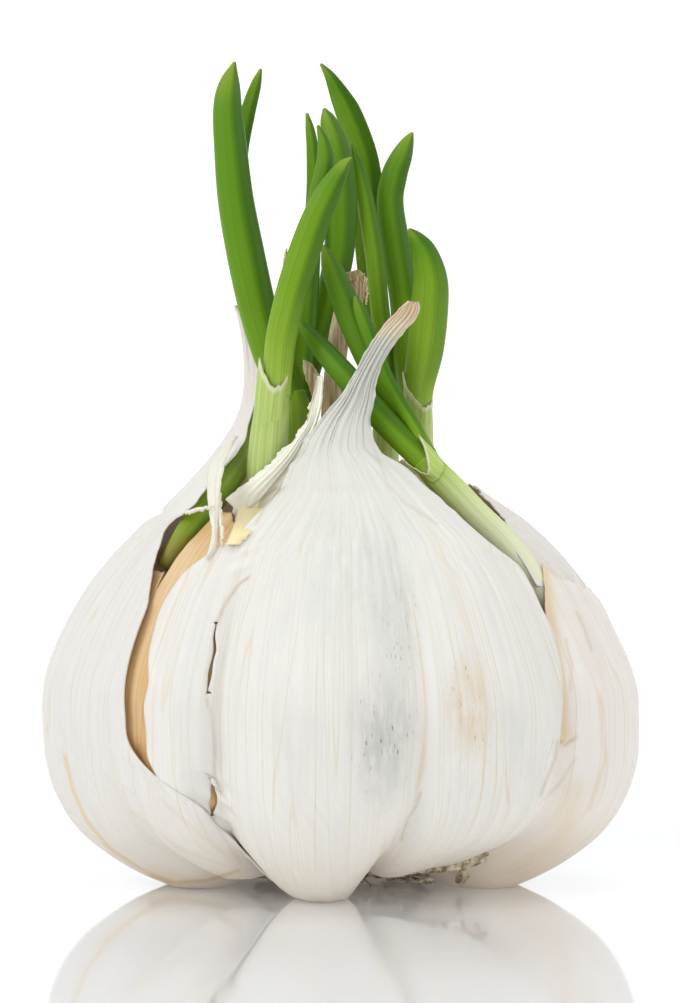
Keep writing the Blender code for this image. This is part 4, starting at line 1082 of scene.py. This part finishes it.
grow("slanting_shoot", "sprout_slant", [
    ([(546, 616, -13.0, 11, 0, 0.02), (542, 603, -12.8, 17, 0, 0.02), (534, 585, -12.2, 25, 0, 0.03),
      (519, 562, -11.3, 31, 0, 0.06), (496, 537, -10.5, 33, 0, 0.1), (474, 515, -10.2, 32, 0, 0.15),
      (452, 491, -10.0, 31, 0, 0.22), (435, 473, -9.9, 29, 0, 0.3), (424, 459, -9.8, 25, 0.1, 0.4)], 1),
    ([(436, 471, -9.9, 22, 0, 0.35), (421, 457, -9.6, 26, 0.4, 0.45), (400, 437, -9.0, 26, 1, 0.55),
      (374, 410, -8.4, 26, 1, 0.6), (350, 381, -7.5, 25, 1, 0.66), (327, 355, -6.3, 22, 1, 0.72),
      (312, 338, -5.2, 18, 1, 0.8), (301, 325, -4.8, 8, 1, 0.85)], 1),
    ([(430, 462, -9.6, 14, 0, 0.4), (417, 430, -9.2, 13, 0.2, 0.5), (402, 406, -8.4, 14, 0.8, 0.6),
      (386, 378, -7.6, 15, 1, 0.7), (374, 348, -7.1, 16, 1, 0.78), (364, 322, -6.8, 15, 1, 0.85),
      (358, 306, -6.6, 11, 1, 0.9), (355, 297, -6.5, 3, 1, 0.95)], 1),
    ([(432, 462, -9.0, 18, 0, 0.4), (414, 432, -7.6, 20, 0.2, 0.48), (392, 402, -6.2, 23, 0.8, 0.55),
      (373, 368, -5.6, 26, 1, 0.6), (357, 333, -5.2, 27, 1, 0.65), (344, 300, -4.9, 27, 1, 0.72),
      (333, 272, -4.7, 22, 1, 0.88), (327, 256, -4.6, 13, 1, 0.95), (323, 246, -4.5, 3, 1, 1.0)], 1)])


# Sheath mouths: each pale sheath opens round its leaves in a thin pale collar with a V at the front,
# tan and dry along its very edge.
def collar_finish():
    mat, tree, shader = finish("sheath_collar", 0.42, 0.5, 0.1)
    fibres, streaks, veins, clouds = fibres_in(tree)
    up = node(tree, "SeparateXYZ", {0: fibres}).outputs[1]
    colour = mix(tree, fade(tree, streaks, 0.35, 0.65), (0.37, 0.52, 0.08), (0.52, 0.64, 0.20))
    colour = mix(tree, fade(tree, up, 0.82, 0.95, 0.0, 0.75), colour, (0.72, 0.76, 0.52))
    colour = mix(tree, fade(tree, up, 0.955, 0.99, 0.0, 0.6), colour, (0.66, 0.48, 0.26))
    dress(tree, shader, colour, streaks, 0.3, 0.0001)
    return mat


sheath_collar = collar_finish()


def collar(name, mouth, foot, depth, round_by, seed):
    """A collar round a sheath: its mouth and its foot, each columns and rows traced from left to right."""
    v = np.linspace(0, 1, 40)
    mouth, foot = np.array(mouth, float), np.array(foot, float)
    top = np.stack([np.interp(v, np.linspace(0, 1, len(mouth)), mouth[:, k]) for k in (0, 1)], 1)
    low = np.stack([np.interp(v, np.linspace(0, 1, len(foot)), foot[:, k]) for k in (0, 1)], 1)
    top[:, 1] += ragged(40, 2.4, seed)
    level = np.linspace(0, 1, 36)[:, None]
    column = low[:, 0] + (top[:, 0] - low[:, 0]) * level
    row = low[:, 1] + (top[:, 1] - low[:, 1]) * level
    bulge = round_by * np.sqrt(np.clip(1 - (2 * v - 1) ** 2, 0, 1))
    grid = place(column, row, depth - bulge * (0.72 + 0.28 * level ** 2))
    piece = thin_skin(name, grid, v * 5 + 0 * level, level * 10 + 0 * v, 0.12)
    piece.data.materials.append(sheath_collar)


collar("front_collar", [(259, 358), (262, 370), (267, 379), (272, 386), (277, 388), (282, 384), (287, 378),
                        (291, 370)],
       [(252, 428), (260, 430), (269, 431), (278, 430), (286, 428)], -8.3, 1.78, 71)
collar("right_collar", [(402, 374), (405, 384), (410, 394), (418, 402), (426, 408), (430, 404), (433, 398)],
       [(407, 438), (412, 440), (419, 441), (426, 440), (431, 436)], -2.2, 1.4, 73)
collar("slanting_collar", [(418, 433), (423, 446), (426, 457), (428, 466), (427, 474), (419, 471), (411, 466),
                           (404, 460)],
       [(443, 462), (443, 470), (439, 478), (433, 482), (426, 480)], -10.0, 1.5, 75)


# Old stalk: what is left of last year's stem in the middle of the neck, flat, straw coloured and dry,
# with its hollow open where it broke off.
def straw_finish():
    mat, tree, shader = finish("dry_straw", 0.75, 0.3, 0.05)
    where = node(tree, "TexCoord").outputs["Object"]
    long = node(tree, "Mapping", {0: where, "Scale": (2600.0, 2600.0, 160.0)}).outputs[0]
    grain = noise(tree, long, 1.0, 4.0, 0.6)
    colour = mix(tree, fade(tree, grain, 0.35, 0.65), (0.42, 0.29, 0.13), (0.80, 0.68, 0.44))
    dress(tree, shader, colour, grain, 0.6, 0.0002)
    return mat


dry_straw = straw_finish()
stalk = blade([(328, 520, -2.6, 18, 0, 0), (329, 460, -2.6, 19, 0, 0), (332, 400, -2.6, 20, 0, 0),
               (338, 345, -2.6, 21, 0, 0), (343, 320, -2.6, 22, 0, 0), (350, 296, -2.5, 24, 0.3, 0),
               (354, 286, -2.5, 25, 0.8, 0), (357, 276, -2.4, 22, 1, 0)], -1)
stalk.name = "dry_old_stalk"
stalk.data.materials.append(dry_straw)
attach(stalk, "root")
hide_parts("old_stalk")


# Dry wisps: the frayed rim of the stalk's hollow, and the dried ends of sheaths between the shoots,
# thin straw coloured strips that are still fixed at their lower ends.
for k, (first, top, wide) in enumerate(((345, 281, 3.2), (348, 276, 2.4), (352, 280, 2.0), (356, 274, 2.6),
                                        (360, 277, 2.2), (363, 274, 2.6), (366, 283, 2.8))):
    ribbon(f"stalk_fray_{k + 1}", [
        (305, first - 2, first - 2 + wide, -3.4, 0), (293, first - 1, first - 1 + wide, -3.6, 0.2),
        (top + 4, first, first + wide * 0.8, -3.5 + 0.2 * (k % 3), 0.3),
        (top, first + 1, first + 1.4, -3.4, 0)], 80 + k, dry_straw)
ribbon("dry_sheath_end", [
    (408, 316, 321, -4.4, 0), (394, 311, 323, -4.6, 0.3), (380, 306, 322, -4.7, 0.4),
    (368, 303, 315, -4.7, 0.3), (360, 303, 306, -4.6, 0)], 91, dry_straw)
ribbon("dry_leaf_tip", [
    (276, 283, 287, -7.4, 0), (266, 283, 288.5, -7.6, 0.1), (256, 284, 288, -7.6, 0.1),
    (249, 286, 287, -7.5, 0)], 93, dry_straw)
ribbon("dry_membrane", [(350, 368, 372, -5.2, 0), (343, 368, 377, -5.3, 0.2), (336, 371, 376, -5.2, 0)], 95)


# Root collar: the frayed grey brown rim that the roots left under the front right clove, and two brown
# scraps of skin beside it.
ribbon("root_rim", [
    (380, 874, 878, -14.5, 0), (392, 870, 879, -15.0, 0.2), (412, 867, 876, -15.2, 0),
    (436, 866, 874, -14.6, 0.2), (458, 863, 872, -13.6, 0), (476, 856, 867, -12.6, 0.3),
    (490, 850, 859, -11.6, 0), (497, 848, 852, -11.0, 0)], 96, dry_root, True)
ribbon("brown_scrap", [
    (456, 876, 883, -9.5, 0), (462, 871, 886, -9.3, 0.3), (468, 868, 880, -9.0, 0),
    (473, 869, 873, -8.6, 0)], 97, dry_root, True)
ribbon("small_scrap", [
    (420, 881, 884, -10.5, 0), (428, 878, 885, -10.4, 0.2),
    (437, 880, 884, -10.2, 0)], 98, dry_root, True)


# Setting: a smooth white table that mirrors the bulb faintly, a white studio, and large soft lights
# from the front left, the right and above. The table glows as painted light round the bulb's foot.
def floor_finish():
    mat, tree, shader = finish("white_table", 0.9, 0.0)
    where = node(tree, "TexCoord").outputs["Object"]
    faint = noise(tree, where, 3.0)
    colour = mix(tree, faint, (0.94, 0.94, 0.94), (0.96, 0.96, 0.96))
    tree.links.new(colour, shader.inputs["Base Color"])
    far = node(tree, "VectorMath", {0: where}, operation="LENGTH").outputs["Value"]
    # Painted light: the table glows in its own colour. Within a few centimetres of the bulb a little glow
    # lifts its contact shadow, and from about 12 centimetres out it glows more and more, whitening it into
    # the backdrop.
    tree.links.new(colour, shader.inputs["Emission Color"])
    shadow_lifting_glow = maths(tree, "ADD", fade(tree, far, 0.012, 0.06, 0.14, 0.0), fade(tree, far, 0.12, 0.7, 0.0, 0.6))
    tree.links.new(shadow_lifting_glow, shader.inputs["Emission Strength"])
    gloss = node(tree, "BsdfGlossy", {"Color": (0.93, 0.945, 0.975, 1), "Roughness": 0.055})
    share = fade(tree, node(tree, "Fresnel", {"IOR": 1.5}).outputs[0], 0.03, 0.45, 0.04, 0.66)
    both = node(tree, "MixShader", {0: share, 1: shader.outputs[0], 2: gloss.outputs[0]})
    tree.links.new(both.outputs[0], tree.nodes["Material Output"].inputs[0])
    return mat


bpy.ops.mesh.primitive_plane_add(size=8.0, location=(0, 0, 0))
table = bpy.context.active_object
table.name = "table"
table.data.materials.append(floor_finish())

world = bpy.data.worlds.new("white_studio")
bpy.context.scene.world = world
world.use_nodes = True
backdrop = world.node_tree.nodes["Background"]
backdrop.inputs["Color"].default_value = (1, 1, 1, 1)
rays = world.node_tree.nodes.new("ShaderNodeLightPath")
seen = maths(world.node_tree, "MAXIMUM", rays.outputs["Is Camera Ray"], rays.outputs["Is Glossy Ray"])
world.node_tree.links.new(fade(world.node_tree, seen, 0.0, 1.0, 0.5, 1.17), backdrop.inputs["Strength"])

for name, spot_at, size, power in (
        ("left_softbox", (-0.75, -0.6, 0.6), 0.5, 4.2), ("right_softbox", (0.85, -0.35, 0.4), 0.45, 1.7),
        ("top_softbox", (0.05, 0.0, 1.0), 0.7, 3.0)):
    bpy.ops.object.light_add(type="AREA", location=spot_at)
    lamp = bpy.context.active_object
    lamp.name = name
    lamp.data.size = size
    lamp.data.energy = power
    lamp.rotation_euler = (Vector((0, 0, 0.04)) - lamp.location).to_track_quat("-Z", "Y").to_euler()

bpy.ops.object.camera_add(location=(-0.00003, -0.60163, 0.07286), rotation=(math.radians(87), 0, 0))
camera = bpy.context.active_object
camera.name = "camera"
camera.data.sensor_width = 36.0
camera.data.lens = 199.85
camera.data.clip_start = 0.05
bpy.context.scene.camera = camera
bpy.context.scene.view_settings.view_transform = "Standard"
